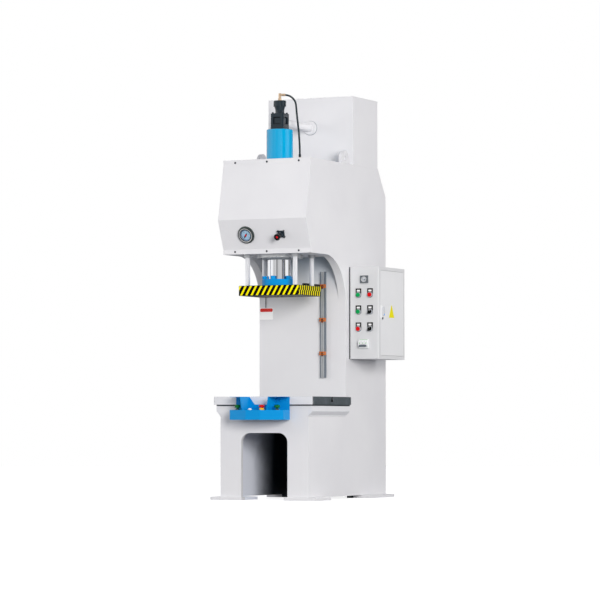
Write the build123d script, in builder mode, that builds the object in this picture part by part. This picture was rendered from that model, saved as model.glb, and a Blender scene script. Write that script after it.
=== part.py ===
from build123d import *
import os
from math import atan2, cos, hypot, pi, radians, sin, tan

os.makedirs("parts", exist_ok=True)

# A single-arm hydraulic press. Millimetres, +Z up, -Y is the operator's side, +X the side with
# the electrical cabinet. The origin is on the floor, at the centre of the four anchor holes.

# Clearances between pieces
slip_fit = 0.05  # radial, for a shaft or piston that runs in its bore
loose_fit = 0.3  # between faces that pass each other
seat_fit = 0.1  # radial, for round pieces that are fixed in each other

# Frame
frame_width = 710
base_depth = 1355
side_plate_t = 60
head_setback = 45
throat_depth = 635
throat_r = 340
bed_z = 682
head_under_z = 1788
head_top_z = 2478
slope_run = 141
slope_drop = 204
front_plate_t = 30
rear_plate_t = 15
top_plate_t = 30
seat_plate_t = 70
arch_width = 374
arch_top_z = 487
arch_r = 70

half_width = frame_width / 2
inner_x = half_width - side_plate_t
pedestal_y = -base_depth / 2
rear_y = base_depth / 2
head_y = pedestal_y + head_setback
column_y = pedestal_y + throat_depth
slope_y = rear_y - slope_run
slope_z = head_top_z - slope_drop
slope_angle = atan2(slope_run, slope_drop)
seat_top_z = head_under_z + seat_plate_t
top_plate_z = head_top_z - top_plate_t

# Feet and floor anchors
foot_t = 22
foot_overhang = 70
foot_toe = 25
front_foot_inner_x = 170
front_foot_length = 260
rear_foot_inner_x = 244
rear_foot_length = 461
anchor_x = 390
anchor_y = 572.5
anchor_hole_r = 13

# Table and its seat
table_width = 800
table_overhang = 20
table_t = 58
bed_plate_t = 10
ledge_width = 33
ledge_height = 72
ledge_lip = 39
t_slot_width = 22
t_slot_depth = 22
t_slot_foot_width = 38
t_slot_foot_depth = 16
table_z = bed_z + bed_plate_t
table_top_z = table_z + table_t
table_front_y = pedestal_y - table_overhang
table_length = column_y - table_front_y

# Ram and slide
ram_behind_head = 210
ram_r = 90
ram_stroke = 500
slide_width = 490
slide_depth = 364
slide_t = 74
daylight = 736
ram_y = head_y + ram_behind_head
slide_z = table_top_z + daylight
slide_top_z = slide_z + slide_t
ram_axis = Axis((0, ram_y, 0), (0, 0, 1))
ram_flange_r = 131.5
ram_flange_t = 48
ram_bolt_margin = 21
ram_bolt_count = 6
ram_bolt_turn = 30
ram_bolt_r = 12
ram_bolt_head_r = 18
ram_bolt_head_t = 24
ram_bolt_reach = 40
hex_socket_r = 10
ram_bolt_circle_r = ram_flange_r - ram_bolt_margin
shank_bore_r = 25
shank_bore_depth = 50
tool_hole_x = 160
tool_hole_y = 110
tool_hole_r = 8
tool_hole_depth = 32

# Guide rods
rod_r = 17.5
rod_offset_x = 193
rod_offset_y = 139
rod_above_seat = 42
rod_spigot_r = 12
rod_spigot_depth = 40
bush_r = 23
bush_collar_r = 26
bush_collar_t = 22
bush_above_seat = 8
rod_top_z = seat_top_z + ram_stroke + rod_above_seat

# Cylinder
barrel_r = 145
barrel_headroom = 30
bore_r = 115
piston_t = 70
piston_headroom = 10
ring_groove_width = 8
ring_groove_depth = 5
collar_r = 168
collar_t = 32
neck_r = 97.5
neck_rise = 230
port_r = 40
clamp_nut_r = 167.5
clamp_nut_t = 27
barrel_below_seat = 24
spanner_slot_width = 18
spanner_slot_depth = 8
gland_flange_r = 128
gland_flange_t = 12
gland_sleeve_t = 36
gland_z = head_under_z - barrel_below_seat
barrel_top_z = top_plate_z - barrel_headroom
neck_top_z = head_top_z + neck_rise
bore_top_z = barrel_top_z - 28
piston_top_z = bore_top_z - piston_headroom
piston_z = piston_top_z - piston_t

# Prefill valve on the cylinder's neck
block_width = 103
block_height = 118
window_width = 58
window_height = 52
window_depth = 9
block_screw_r = 7
block_screw_t = 9
block_screw_inset = 13
valve_neck_r = 33
valve_neck_t = 27
valve_cone_t = 26
fluted_cap_r = 46
fluted_cap_t = 43
flute_count = 20
flute_r = 5
block_z = neck_top_z
block_top_z = block_z + block_height
cone_z = block_top_z + valve_neck_t
cap_z = cone_z + valve_cone_t
cap_top_z = cap_z + fluted_cap_t

# Pilot hose and its brass fittings
hose_r = 7
fitting_r = 10
nipple_hex_r = 14
nipple_t = 35
elbow_height = 20
elbow_reach = 20
hose_turn = 30
socket_hex_r = 15
socket_hex_t = 18
socket_height = 30
elbow_z = cap_top_z + nipple_t + elbow_height / 2 - 1
# Distance from the ram's axis and height above the head's top, along the hose's own vertical plane
hose_route = [
    (20, 488),
    (52, 488),
    (81.5, 476.6),
    (104.7, 455.3),
    (118.6, 427),
    (123, 370),
    (130, 302),
    (139, 228),
    (144, 154),
    (147.5, 89),
    (147.5, socket_height),
]

# Oil tank and fill pipe
tank_width = 704
tank_front_gap = 142
tank_height = 505
tank_wall = 6
lid_t = 8
breather_r = 32
breather_t = 30
breather_x = 120
breather_inset = 90
pipe_r = 28
pipe_bore_r = 23
pipe_rise = 288
pipe_sleeve_r = 31
pipe_sleeve_length = 137
pipe_flange_r = 51
pipe_flange_t = 18
tank_y = column_y + tank_front_gap
tank_length = slope_y - tank_y
tank_top_z = head_top_z + tank_height
pipe_z = head_top_z + pipe_rise
pipe_start_y = ram_y + block_width / 2

# Head cover with the gauge and the control valve
cover_t = 4
cover_bulge = 85
cover_strip = 35
cover_fold_rise = 247
gauge_x = -146
gauge_drop = 109
gauge_r = 64
gauge_proud = 16
gauge_wall = 5
gauge_dial_r = 42
gauge_edge_r = 9
gauge_dial_depth = 10
gauge_case_r = 57
gauge_case_depth = 42
needle_hub_r = 7
needle_t = 2.5
needle_length = 30
needle_tail = 14
needle_width = 8
needle_angle = 232
needle_pin_r = 2
needle_pin_length = 5
valve_x = 139
valve_flange_width = 50
valve_flange_t = 9
valve_ear_r = 6
valve_body_r = 19
valve_body_length = 27
valve_block_width = 56
valve_block_depth = 48
knob_root_r = 16
knob_end_r = 25
knob_length = 42
knob_pin_r = 6
knob_pin_length = 15
knob_flute_count = 8
knob_flute_r = 4
cover_y = head_y - cover_t
cover_fold_y = cover_y - cover_bulge
cover_fold_z = head_under_z + cover_fold_rise
panel_drop = cover_fold_z - head_under_z - cover_strip
panel_length = hypot(panel_drop, cover_bulge)
panel_normal = (0, -panel_drop / panel_length, -cover_bulge / panel_length)


def panel_plane(x, drop):
    """The plane on the head's lower sloped panel at x, drop below the fold, facing outwards."""
    y = cover_fold_y + cover_bulge * drop / panel_drop
    return Plane(origin=(x, y, cover_fold_z - drop), x_dir=(1, 0, 0), z_dir=panel_normal)


# Trip arm, rail and limit switches
arm_x = 157
arm_width = 28
arm_t = 22
arm_overlap = 104
arm_screw_r = 6
rail_x = 178
rail_width = 40
rail_depth = 22
rail_z = 893
rail_top_gap = 109
rail_groove_width = 9
rail_groove_depth = 12
rail_pocket_width = 20
rail_pocket_depth = 7
rail_lip = 3
switch_pitch = 249
switch_width = 46
switch_depth = 15
switch_height = 26
switch_slot_width = 12
switch_wrap = 10
sensor_r = 5
sensor_length = 34
sensor_gap = 6
rail_length = head_under_z - rail_top_gap - rail_z
rail_front_y = column_y - rail_depth
switch_front_y = rail_front_y - switch_depth
upper_switch_z = slide_top_z + arm_t / 2

# Two-hand console
console_t = 2.5
console_half_width = 216
console_nose_half_width = 58
console_side_length = 105
console_length = 166
console_z = 582
console_height = 71
hood_height = 95
hood_foot_x = 97
hood_top_x = 112
back_slope_x = 65
back_slope_run = 44
palm_x = 159
palm_from_back = 91
palm_head_r = 21
palm_head_t = 23
palm_stem_r = 9
palm_travel = 6
palm_collar_r = 15
palm_collar_t = 9
stop_x = 48
stop_from_back = 115
stop_collar_r = 18
stop_collar_t = 14
stop_head_r = 21
stop_head_t = 20
stop_travel = 4
white_collar_r = 15
white_collar_t = 6
white_cap_r = 11
white_cap_proud = 12
white_travel = 3
collar_spigot_t = 12
dome_r = 45
dome_edge_r = 4
console_top_z = console_z + console_height
hood_top_z = console_top_z + hood_height
console_nose_y = table_front_y - console_length
console_corner_y = table_front_y - console_side_length

# Electrical cabinet
cabinet_gap = 10
cabinet_width = 228
cabinet_depth = 479
cabinet_height = 680
cabinet_z = 1032
cabinet_behind_column = 61
cabinet_t = 2
cabinet_edge_r = 6
door_inset_front = 36
door_inset_rear = 20
door_inset_end = 25
door_gap = 1.5
door_hinge_gap = 4
door_pan = 18
hinge_pin_r = 2.5
hinge_pin_length = 9
hinge_inset_x = 5
hinge_inset_y = 4
hinge_block = 14
handle_from_front = 66
handle_rise = 342
handle_width = 44
handle_height = 108
handle_t = 6
lever_width = 24
lever_length = 70
lever_t = 11
lever_pivot_drop = 22
lever_spindle_r = 5
lever_spindle_length = 16
mount_bar_height = 30
mount_bar_inset = 40
cabinet_x = half_width + cabinet_gap
door_x = cabinet_x + cabinet_width
cabinet_y = column_y + cabinet_behind_column
cabinet_rear_y = cabinet_y + cabinet_depth
cabinet_top_z = cabinet_z + cabinet_height
door_y = cabinet_y + door_inset_front
door_rear_y = cabinet_rear_y - door_inset_rear
door_z = cabinet_z + door_inset_end
door_top_z = cabinet_top_z - door_inset_end
door_latch_y = cabinet_y + handle_from_front
handle_z = cabinet_z + handle_rise
lever_pivot_z = handle_z + handle_height / 2 - lever_pivot_drop
hinge_x = door_x - hinge_inset_x
hinge_y = door_rear_y - door_hinge_gap - hinge_inset_y

# Controls on the cabinet's front
panel_mid_x = cabinet_x + cabinet_width / 2
control_spread = 47
control_row_rises = [473, 348, 222]
legend_width = 44
legend_rise = 47
legend_t = 4
window_rise = 31
window_size = (26, 14)
window_recess = 1.5
bezel_r = 20
bezel_t = 7
button_r = 15.5
button_proud = 15
button_travel = 4
button_stem_r = 8
button_stem_length = 18
selector_bar_length = 35
selector_bar_width = 11
selector_disc_t = 4
selector_bar_t = 14
selector_angle = 60
meter_rise = 587
meter_size = 64
meter_height = 56
meter_ring_r = 20
meter_ring_t = 4
meter_proud = 9
meter_body_size = 46
meter_body_depth = 38
meter_rim = 3
meter_dial_depth = 6
breaker_rise = 77
breaker_height = 66
breaker_width = 76
breaker_base_proud = 16
breaker_nose_proud = 30
breaker_nose_z = 22
breaker_nose_height = 34
breaker_depth = 30
toggle_pivot_rise = 20
toggle_recess_height = 16
toggle_recess_depth = 14
toggle_r = 6
toggle_reach = 15
toggle_bar_t = 7
toggle_side_gap = 8
control_rows = [cabinet_z + rise for rise in control_row_rises]
meter_z = cabinet_z + meter_rise
breaker_z = cabinet_z + breaker_rise

# Control gear on its plate inside the cabinet
gear_plate_t = 3
gear_plate_margin = 40
gear_standoff = 14
gear_standoff_r = 6
contactor_size = (80, 46, 84)
contactor_pitch = 62
contactor_count = 4
transformer_size = (90, 110, 95)
terminal_size = (45, 330, 40)
contactor_front_t = 12
contactor_front_height = 40
contactor_edge = 7
relay_size = (60, 120, 80)
gear_offset = 90
gear_corner = 30
contactor_rise = 468
transformer_rise = 298
terminal_rise = 98
gear_row_z = cabinet_z + contactor_rise
transformer_z = cabinet_z + transformer_rise
terminal_z = cabinet_z + terminal_rise

# Motor and pump on their shelf in the column
shelf_z = 900
shelf_t = 16
shelf_rear_gap = 60
shelf_lip = 50
motor_r = 108
motor_fin_height = 14
motor_fin_t = 5
motor_fin_count = 16
motor_rear_gap = 45
motor_cowl_length = 70
motor_axis_rise = 150
motor_flange_r = 125
motor_flange_t = 16
motor_foot_width = 216
motor_foot_share = 2 / 3
motor_foot_t = 16
motor_box_width = 110
motor_box_share = 0.4
motor_box_height = 60
pump_front_gap = 44
bell_r = 100
bell_length = 90
bell_end_r = 62
pump_size = 96
pump_length = 110
pump_port_r = 16
shelf_top_z = shelf_z + shelf_t
motor_z = shelf_top_z + motor_axis_rise
motor_y = column_y + front_plate_t + pump_front_gap + pump_length + bell_length + motor_flange_t
motor_length = rear_y - rear_plate_t - motor_rear_gap - motor_cowl_length - motor_y
motor_foot_length = motor_foot_share * motor_length
motor_box_length = motor_box_share * motor_length

# Rear cover with louvres
cover_width = 470
cover_height = 640
rear_cover_t = 4
rear_opening_margin = 25
rear_cover_z = 860
louvre_count = 9
louvre_width = 330
louvre_height = 22
louvre_depth = 12
louvre_pitch = 56
louvre_wall = 2

# Lifting lugs
lug_t = 26
lug_width = 128
lug_height = 94
lug_hole_r = 20
lug_hole_rise = 38
lug_edge_inset = 3
lug_tank_gap = 74
lug_y = tank_y - lug_tank_gap - lug_width / 2


# Left side plate: a C cut from thick plate
with BuildPart() as left_side_plate:
    with BuildSketch(Plane.YZ.offset(-half_width)) as c_outline:
        with BuildLine():
            Polyline(
                (pedestal_y, foot_t),
                (pedestal_y, bed_z),
                (column_y, bed_z),
                (column_y, head_under_z),
                (head_y, head_under_z),
                (head_y, head_top_z),
                (slope_y, head_top_z),
                (rear_y, slope_z),
                (rear_y, foot_t),
                close=True,
            )
        make_face()
        throat_corner = c_outline.vertices().sort_by_distance((column_y, head_under_z))[0]
        fillet(throat_corner, radius=throat_r)
    extrude(amount=side_plate_t)
left_side_plate.part.label = "left_side_plate"
export_step(left_side_plate.part, "parts/left_side_plate.step")

# Right side plate: the same cut, on the cabinet's side
with BuildPart() as right_side_plate:
    mirror(left_side_plate.part, about=Plane.YZ)
right_side_plate.part.label = "right_side_plate"
export_step(right_side_plate.part, "parts/right_side_plate.step")

# Column front plate: stands straight up from the bed to the head's top plate
with BuildPart() as column_front_plate:
    with Locations((0, column_y, bed_z)):
        Box(2 * inner_x, front_plate_t, top_plate_z - bed_z, align=(Align.CENTER, Align.MIN, Align.MIN))
column_front_plate.part.label = "column_front_plate"
export_step(column_front_plate.part, "parts/column_front_plate.step")

# Pedestal front plate with its arch
with BuildPart() as pedestal_front_plate:
    with BuildSketch(Plane.XZ.offset(-pedestal_y)) as portal:
        with BuildLine():
            Polyline(
                (-inner_x, foot_t),
                (-arch_width / 2, foot_t),
                (-arch_width / 2, arch_top_z),
                (arch_width / 2, arch_top_z),
                (arch_width / 2, foot_t),
                (inner_x, foot_t),
                (inner_x, bed_z),
                (-inner_x, bed_z),
                close=True,
            )
        make_face()
        arch_corners = portal.vertices().filter_by(lambda v: abs(v.Y - arch_top_z) < 1)
        fillet(arch_corners, radius=arch_r)
    extrude(amount=-front_plate_t)
pedestal_front_plate.part.label = "pedestal_front_plate"
export_step(pedestal_front_plate.part, "parts/pedestal_front_plate.step")

# Cylinder seat plate: the head's thick floor, bored for the barrel and the four guide bushes
with BuildPart() as cylinder_seat_plate:
    with Locations((0, head_y, head_under_z)):
        Box(2 * inner_x, column_y - head_y, seat_plate_t, align=(Align.CENTER, Align.MIN, Align.MIN))
    with Locations((0, ram_y, seat_top_z)):
        Hole(barrel_r + seat_fit)
        with GridLocations(2 * rod_offset_x, 2 * rod_offset_y, 2, 2):
            Hole(bush_r + seat_fit)
cylinder_seat_plate.part.label = "cylinder_seat_plate"
export_step(cylinder_seat_plate.part, "parts/cylinder_seat_plate.step")

# Head top plate: the neck passes through it, and the hose's socket stands on it
with BuildPart() as head_top_plate:
    with Locations((0, head_y, top_plate_z)):
        Box(
            2 * inner_x,
            slope_y - rear_plate_t - head_y,
            top_plate_t,
            align=(Align.CENTER, Align.MIN, Align.MIN),
        )
    with Locations((0, ram_y, head_top_z)):
        Hole(neck_r + seat_fit)
head_top_plate.part.label = "head_top_plate"
export_step(head_top_plate.part, "parts/head_top_plate.step")

# Rear plate: one plate bent to the slope at the top, with the opening behind the motor
opening_half_width = cover_width / 2 - rear_opening_margin
opening_height = cover_height - 2 * rear_opening_margin
with BuildPart() as rear_plate:
    with BuildSketch(Plane.YZ.offset(-inner_x)):
        with BuildLine():
            Polyline(
                (rear_y, foot_t),
                (rear_y, slope_z),
                (slope_y, head_top_z),
                (slope_y - rear_plate_t * cos(slope_angle), head_top_z - rear_plate_t * sin(slope_angle)),
                (rear_y - rear_plate_t, slope_z - rear_plate_t * tan(slope_angle / 2)),
                (rear_y - rear_plate_t, foot_t),
                close=True,
            )
        make_face()
    extrude(amount=2 * inner_x)
    with Locations((0, rear_y, rear_cover_z + cover_height / 2)):
        Box(2 * opening_half_width, 4 * rear_plate_t, opening_height, mode=Mode.SUBTRACT)
rear_plate.part.label = "rear_plate"
export_step(rear_plate.part, "parts/rear_plate.step")

# Rear cover: a screwed sheet with pressed louvres that open downwards
with BuildPart() as rear_cover:
    with Locations((0, rear_y, rear_cover_z)):
        Box(cover_width, rear_cover_t, cover_height, align=(Align.CENTER, Align.MIN, Align.MIN))
    louvre_z = rear_cover_z + cover_height / 2 - louvre_pitch * (louvre_count - 1) / 2
    for row in range(louvre_count):
        low = louvre_z + row * louvre_pitch - louvre_height / 2
        skin_y = rear_y + rear_cover_t
        with BuildSketch(Plane.YZ.offset(-louvre_width / 2)):
            with BuildLine():
                Polyline(
                    (rear_y, low + louvre_height),
                    (skin_y, low + louvre_height),
                    (skin_y + louvre_depth, low + louvre_wall),
                    (skin_y + louvre_depth, low),
                    (rear_y, low),
                    close=True,
                )
            make_face()
        extrude(amount=louvre_width)
        with BuildSketch(Plane.YZ.offset(-louvre_width / 2 + louvre_wall)):
            with BuildLine():
                Polyline(
                    (rear_y, low + louvre_height - louvre_wall),
                    (skin_y, low + louvre_height - 2 * louvre_wall),
                    (skin_y + louvre_depth - louvre_wall, low),
                    (rear_y, low),
                    close=True,
                )
            make_face()
        extrude(amount=louvre_width - 2 * louvre_wall, mode=Mode.SUBTRACT)
rear_cover.part.label = "rear_cover"
export_step(rear_cover.part, "parts/rear_cover.step")

# Bed plate under the table, with the ledges welded along both side plates
with BuildPart() as bed_plate:
    with Locations((0, pedestal_y, bed_z)):
        Box(
            2 * (half_width + ledge_width),
            throat_depth,
            bed_plate_t,
            align=(Align.CENTER, Align.MIN, Align.MIN),
        )
    for side in (-1, 1):
        with BuildSketch(Plane.XZ.offset(-pedestal_y)):
            with BuildLine():
                Polyline(
                    (side * half_width, bed_z),
                    (side * half_width, bed_z - ledge_height),
                    (side * (half_width + ledge_width), bed_z - ledge_lip),
                    (side * (half_width + ledge_width), bed_z),
                    close=True,
                )
            make_face()
        extrude(amount=-throat_depth)
bed_plate.part.label = "bed_plate"
export_step(bed_plate.part, "parts/bed_plate.step")

# Foot plates: four flats under the frame's corners, drilled for floor anchors
foot_outer_x = half_width + foot_overhang
with BuildPart() as foot_plates:
    for side in (-1, 1):
        front_width = foot_outer_x - front_foot_inner_x
        rear_width = foot_outer_x - rear_foot_inner_x
        with Locations((side * (foot_outer_x - front_width / 2), pedestal_y - foot_toe, 0)):
            Box(front_width, front_foot_length, foot_t, align=(Align.CENTER, Align.MIN, Align.MIN))
        with Locations((side * (foot_outer_x - rear_width / 2), rear_y, 0)):
            Box(rear_width, rear_foot_length, foot_t, align=(Align.CENTER, Align.MAX, Align.MIN))
    with Locations((0, 0, foot_t)):
        with GridLocations(2 * anchor_x, 2 * anchor_y, 2, 2):
            Hole(anchor_hole_r)
foot_plates.part.label = "foot_plates"
export_step(foot_plates.part, "parts/foot_plates.step")

# Lifting lugs: round-topped plates welded on the side plates
with BuildPart() as lifting_lugs:
    for side in (-1, 1):
        near_x = half_width - lug_edge_inset - lug_t
        start_x = near_x if side > 0 else -near_x - lug_t
        with BuildSketch(Plane.YZ.offset(start_x)):
            with Locations((lug_y, head_top_z + lug_height - lug_width / 2)):
                Circle(lug_width / 2)
            with Locations((lug_y, head_top_z)):
                Rectangle(lug_width, lug_height - lug_width / 2, align=(Align.CENTER, Align.MIN))
            with Locations((lug_y, head_top_z)):
                Rectangle(2 * lug_width, lug_width, align=(Align.CENTER, Align.MAX), mode=Mode.SUBTRACT)
            with Locations((lug_y, head_top_z + lug_hole_rise)):
                Circle(lug_hole_r, mode=Mode.SUBTRACT)
        extrude(amount=lug_t)
lifting_lugs.part.label = "lifting_lugs"
export_step(lifting_lugs.part, "parts/lifting_lugs.step")

# Table: a machined plate with one T-slot across it
with BuildPart() as table:
    with Locations((0, table_front_y, table_z)):
        Box(table_width, table_length, table_t, align=(Align.CENTER, Align.MIN, Align.MIN))
    chamfer(table.edges().filter_by(Axis.Z), length=4)
    chamfer(table.faces().sort_by(Axis.Z)[-1].edges(), length=2)
    slot_y = table_front_y + table_length / 2
    with BuildSketch(Plane.YZ.offset(-table_width / 2)):
        with Locations((slot_y, table_top_z)):
            Rectangle(t_slot_width, t_slot_depth, align=(Align.CENTER, Align.MAX))
        with Locations((slot_y, table_top_z - t_slot_depth)):
            Rectangle(t_slot_foot_width, t_slot_foot_depth, align=(Align.CENTER, Align.MAX))
    extrude(amount=table_width, mode=Mode.SUBTRACT)
table.part.label = "table"
export_step(table.part, "parts/table.step")

# Motor shelf: a plate across the column with a folded front lip
with BuildPart() as motor_shelf:
    shelf_front_y = column_y + front_plate_t
    shelf_length = rear_y - rear_plate_t - shelf_rear_gap - shelf_front_y
    with Locations((0, shelf_front_y, shelf_z)):
        Box(2 * inner_x, shelf_length, shelf_t, align=(Align.CENTER, Align.MIN, Align.MIN))
    with Locations((0, shelf_front_y + shelf_length, shelf_z)):
        Box(2 * inner_x, shelf_t, shelf_lip, align=(Align.CENTER, Align.MAX, Align.MAX))
motor_shelf.part.label = "motor_shelf"
export_step(motor_shelf.part, "parts/motor_shelf.step")

# Motor: finned body, flange, fan cowl, terminal box and feet
with BuildPart() as motor:
    with BuildSketch(Plane.XZ.offset(-motor_y)):
        with Locations((0, motor_z)):
            Circle(motor_r)
            with PolarLocations(motor_r, motor_fin_count):
                Rectangle(2 * motor_fin_height, motor_fin_t)
    extrude(amount=-motor_length)
    with BuildSketch(Plane.XZ.offset(-motor_y)):
        with Locations((0, motor_z)):
            Circle(motor_flange_r)
    extrude(amount=motor_flange_t)
    with BuildSketch(Plane.XZ.offset(-motor_y - motor_length)):
        with Locations((0, motor_z)):
            Circle(motor_r + motor_fin_height)
    extrude(amount=-motor_cowl_length)
    cowl_rim = motor.edges().group_by(Axis.Y)[-1]
    chamfer(cowl_rim, length=12)
    with Locations((0, motor_y + motor_length / 2, motor_z + motor_r - motor_box_height / 3)):
        Box(
            motor_box_width,
            motor_box_length,
            motor_box_height,
            align=(Align.CENTER, Align.CENTER, Align.MIN),
        )
    with Locations((0, motor_y + motor_length / 2, shelf_top_z)):
        Box(
            motor_foot_width,
            motor_foot_length,
            motor_foot_t,
            align=(Align.CENTER, Align.CENTER, Align.MIN),
        )
        Box(
            motor_foot_width / 2,
            motor_foot_length,
            motor_axis_rise - motor_r / 2,
            align=(Align.CENTER, Align.CENTER, Align.MIN),
        )
motor.part.label = "motor"
export_step(motor.part, "parts/motor.step")

# Pump with its bell housing, on the motor's front flange
with BuildPart() as pump:
    bell_y = motor_y - motor_flange_t
    with BuildSketch(Plane.XZ.offset(-bell_y)):
        with Locations((0, motor_z)):
            Circle(bell_r)
    with BuildSketch(Plane.XZ.offset(-bell_y + bell_length)):
        with Locations((0, motor_z)):
            Circle(bell_end_r)
    loft()
    with Locations((0, bell_y - bell_length, motor_z)):
        Box(pump_size, pump_length, pump_size, align=(Align.CENTER, Align.MAX, Align.CENTER))
    chamfer(pump.edges().group_by(Axis.Y)[0], length=8)
    with Locations(Location((0, bell_y - bell_length - pump_length / 2, motor_z), (0, 90, 0))):
        Cylinder(pump_port_r, pump_size + 3, mode=Mode.SUBTRACT)
pump.part.label = "pump"
export_step(pump.part, "parts/pump.step")

# Oil tank: an open-topped box welded on the side plates
with BuildPart() as oil_tank:
    with Locations((0, tank_y, head_top_z)):
        Box(tank_width, tank_length, tank_height, align=(Align.CENTER, Align.MIN, Align.MIN))
    with Locations((0, tank_y + tank_wall, head_top_z + tank_wall)):
        Box(
            tank_width - 2 * tank_wall,
            tank_length - 2 * tank_wall,
            tank_height,
            align=(Align.CENTER, Align.MIN, Align.MIN),
            mode=Mode.SUBTRACT,
        )
    with Locations(Location((0, tank_y, pipe_z), (90, 0, 0))):
        Cylinder(pipe_bore_r, 3 * tank_wall, mode=Mode.SUBTRACT)
oil_tank.part.label = "oil_tank"
export_step(oil_tank.part, "parts/oil_tank.step")

# Tank lid with its breather cap at the rear
with BuildPart() as tank_lid:
    with Locations((0, tank_y, tank_top_z)):
        Box(tank_width, tank_length, lid_t, align=(Align.CENTER, Align.MIN, Align.MIN))
    with Locations((breather_x, slope_y - breather_inset, tank_top_z + lid_t)):
        Cylinder(breather_r, breather_t, align=(Align.CENTER, Align.CENTER, Align.MIN))
    chamfer(tank_lid.edges().group_by(Axis.Z)[-1], length=4)
tank_lid.part.label = "tank_lid"
export_step(tank_lid.part, "parts/tank_lid.step")

# Fill pipe from the prefill valve to the tank, with its sleeve and flange
with BuildPart() as fill_pipe:
    with BuildSketch(Plane.YZ):
        with BuildLine():
            Polyline(
                (pipe_start_y, pipe_z + pipe_bore_r),
                (pipe_start_y, pipe_z + pipe_sleeve_r - 2),
                (pipe_start_y + 2, pipe_z + pipe_sleeve_r),
                (pipe_start_y + pipe_sleeve_length, pipe_z + pipe_sleeve_r),
                (pipe_start_y + pipe_sleeve_length + 3, pipe_z + pipe_r),
                (tank_y - pipe_flange_t, pipe_z + pipe_r),
                (tank_y - pipe_flange_t, pipe_z + pipe_flange_r - 3),
                (tank_y - pipe_flange_t + 3, pipe_z + pipe_flange_r),
                (tank_y, pipe_z + pipe_flange_r),
                (tank_y, pipe_z + pipe_bore_r),
                close=True,
            )
        make_face()
    revolve(axis=Axis((0, 0, pipe_z), (0, 1, 0)))
fill_pipe.part.label = "fill_pipe"
export_step(fill_pipe.part, "parts/fill_pipe.step")

# Cylinder barrel: collar on the seat plate, closed top and the neck through the top plate
with BuildPart() as cylinder_barrel:
    with BuildSketch(Plane.XZ.offset(-ram_y)):
        with BuildLine():
            Polyline(
                (bore_r + slip_fit, gland_z),
                (barrel_r, gland_z),
                (barrel_r, seat_top_z),
                (collar_r, seat_top_z),
                (collar_r, seat_top_z + collar_t),
                (barrel_r, seat_top_z + collar_t),
                (barrel_r, barrel_top_z - 10),
                (barrel_r - 10, barrel_top_z),
                (neck_r, barrel_top_z),
                (neck_r, neck_top_z - 3),
                (neck_r - 3, neck_top_z),
                (port_r, neck_top_z),
                (port_r, bore_top_z),
                (bore_r + slip_fit, bore_top_z),
                close=True,
            )
        make_face()
    revolve(axis=ram_axis)
cylinder_barrel.part.label = "cylinder_barrel"
export_step(cylinder_barrel.part, "parts/cylinder_barrel.step")

# Clamp nut: the slotted ring under the head that holds the barrel up against its seat
with BuildPart() as clamp_nut:
    with BuildSketch(Plane.XZ.offset(-ram_y)):
        with BuildLine():
            Polyline(
                (barrel_r + seat_fit, head_under_z - clamp_nut_t),
                (clamp_nut_r - 3, head_under_z - clamp_nut_t),
                (clamp_nut_r, head_under_z - clamp_nut_t + 3),
                (clamp_nut_r, head_under_z),
                (barrel_r + seat_fit, head_under_z),
                close=True,
            )
        make_face()
    revolve(axis=ram_axis)
    with Locations((0, ram_y, head_under_z - clamp_nut_t)):
        with PolarLocations(clamp_nut_r, 6, start_angle=30):
            Box(
                2 * spanner_slot_depth,
                spanner_slot_width,
                2 * spanner_slot_depth,
                mode=Mode.SUBTRACT,
            )
clamp_nut.part.label = "clamp_nut"
export_step(clamp_nut.part, "parts/clamp_nut.step")

# Gland bush: guides the ram and closes the barrel's lower end
with BuildPart() as gland_bush:
    with BuildSketch(Plane.XZ.offset(-ram_y)):
        with BuildLine():
            Polyline(
                (ram_r + slip_fit, gland_z - gland_flange_t),
                (gland_flange_r - 4, gland_z - gland_flange_t),
                (gland_flange_r, gland_z - gland_flange_t + 4),
                (gland_flange_r, gland_z),
                (bore_r, gland_z),
                (bore_r, gland_z + gland_sleeve_t),
                (ram_r + slip_fit, gland_z + gland_sleeve_t),
                close=True,
            )
        make_face()
    revolve(axis=ram_axis)
gland_bush.part.label = "gland_bush"
export_step(gland_bush.part, "parts/gland_bush.step")

# Ram: the chromed rod and its piston, turned in one piece, with two ring grooves
with BuildPart() as ram:
    with BuildSketch(Plane.XZ.offset(-ram_y)):
        groove_z = piston_z + 18
        second_groove_z = piston_top_z - 18 - ring_groove_width
        with BuildLine():
            Polyline(
                (0, slide_top_z),
                (ram_r, slide_top_z),
                (ram_r, piston_z),
                (bore_r, piston_z),
                (bore_r, groove_z),
                (bore_r - ring_groove_depth, groove_z),
                (bore_r - ring_groove_depth, groove_z + ring_groove_width),
                (bore_r, groove_z + ring_groove_width),
                (bore_r, second_groove_z),
                (bore_r - ring_groove_depth, second_groove_z),
                (bore_r - ring_groove_depth, second_groove_z + ring_groove_width),
                (bore_r, second_groove_z + ring_groove_width),
                (bore_r, piston_top_z - 3),
                (bore_r - 3, piston_top_z),
                (0, piston_top_z),
                close=True,
            )
        make_face()
    revolve(axis=ram_axis)
ram.part.label = "ram"
export_step(ram.part, "parts/ram.step")

# Ram flange: bolts the slide to the ram
with BuildPart() as ram_flange:
    with BuildSketch(Plane.XY.offset(slide_top_z)):
        with Locations((0, ram_y)):
            Circle(ram_flange_r)
            Circle(ram_r + seat_fit, mode=Mode.SUBTRACT)
            with PolarLocations(ram_bolt_circle_r, ram_bolt_count, start_angle=ram_bolt_turn):
                Circle(ram_bolt_r + seat_fit, mode=Mode.SUBTRACT)
    extrude(amount=ram_flange_t)
    rim = ram_flange.edges().filter_by(GeomType.CIRCLE).sort_by(lambda e: e.radius)[-2:]
    chamfer(rim, length=3)
ram_flange.part.label = "ram_flange"
export_step(ram_flange.part, "parts/ram_flange.step")

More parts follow.
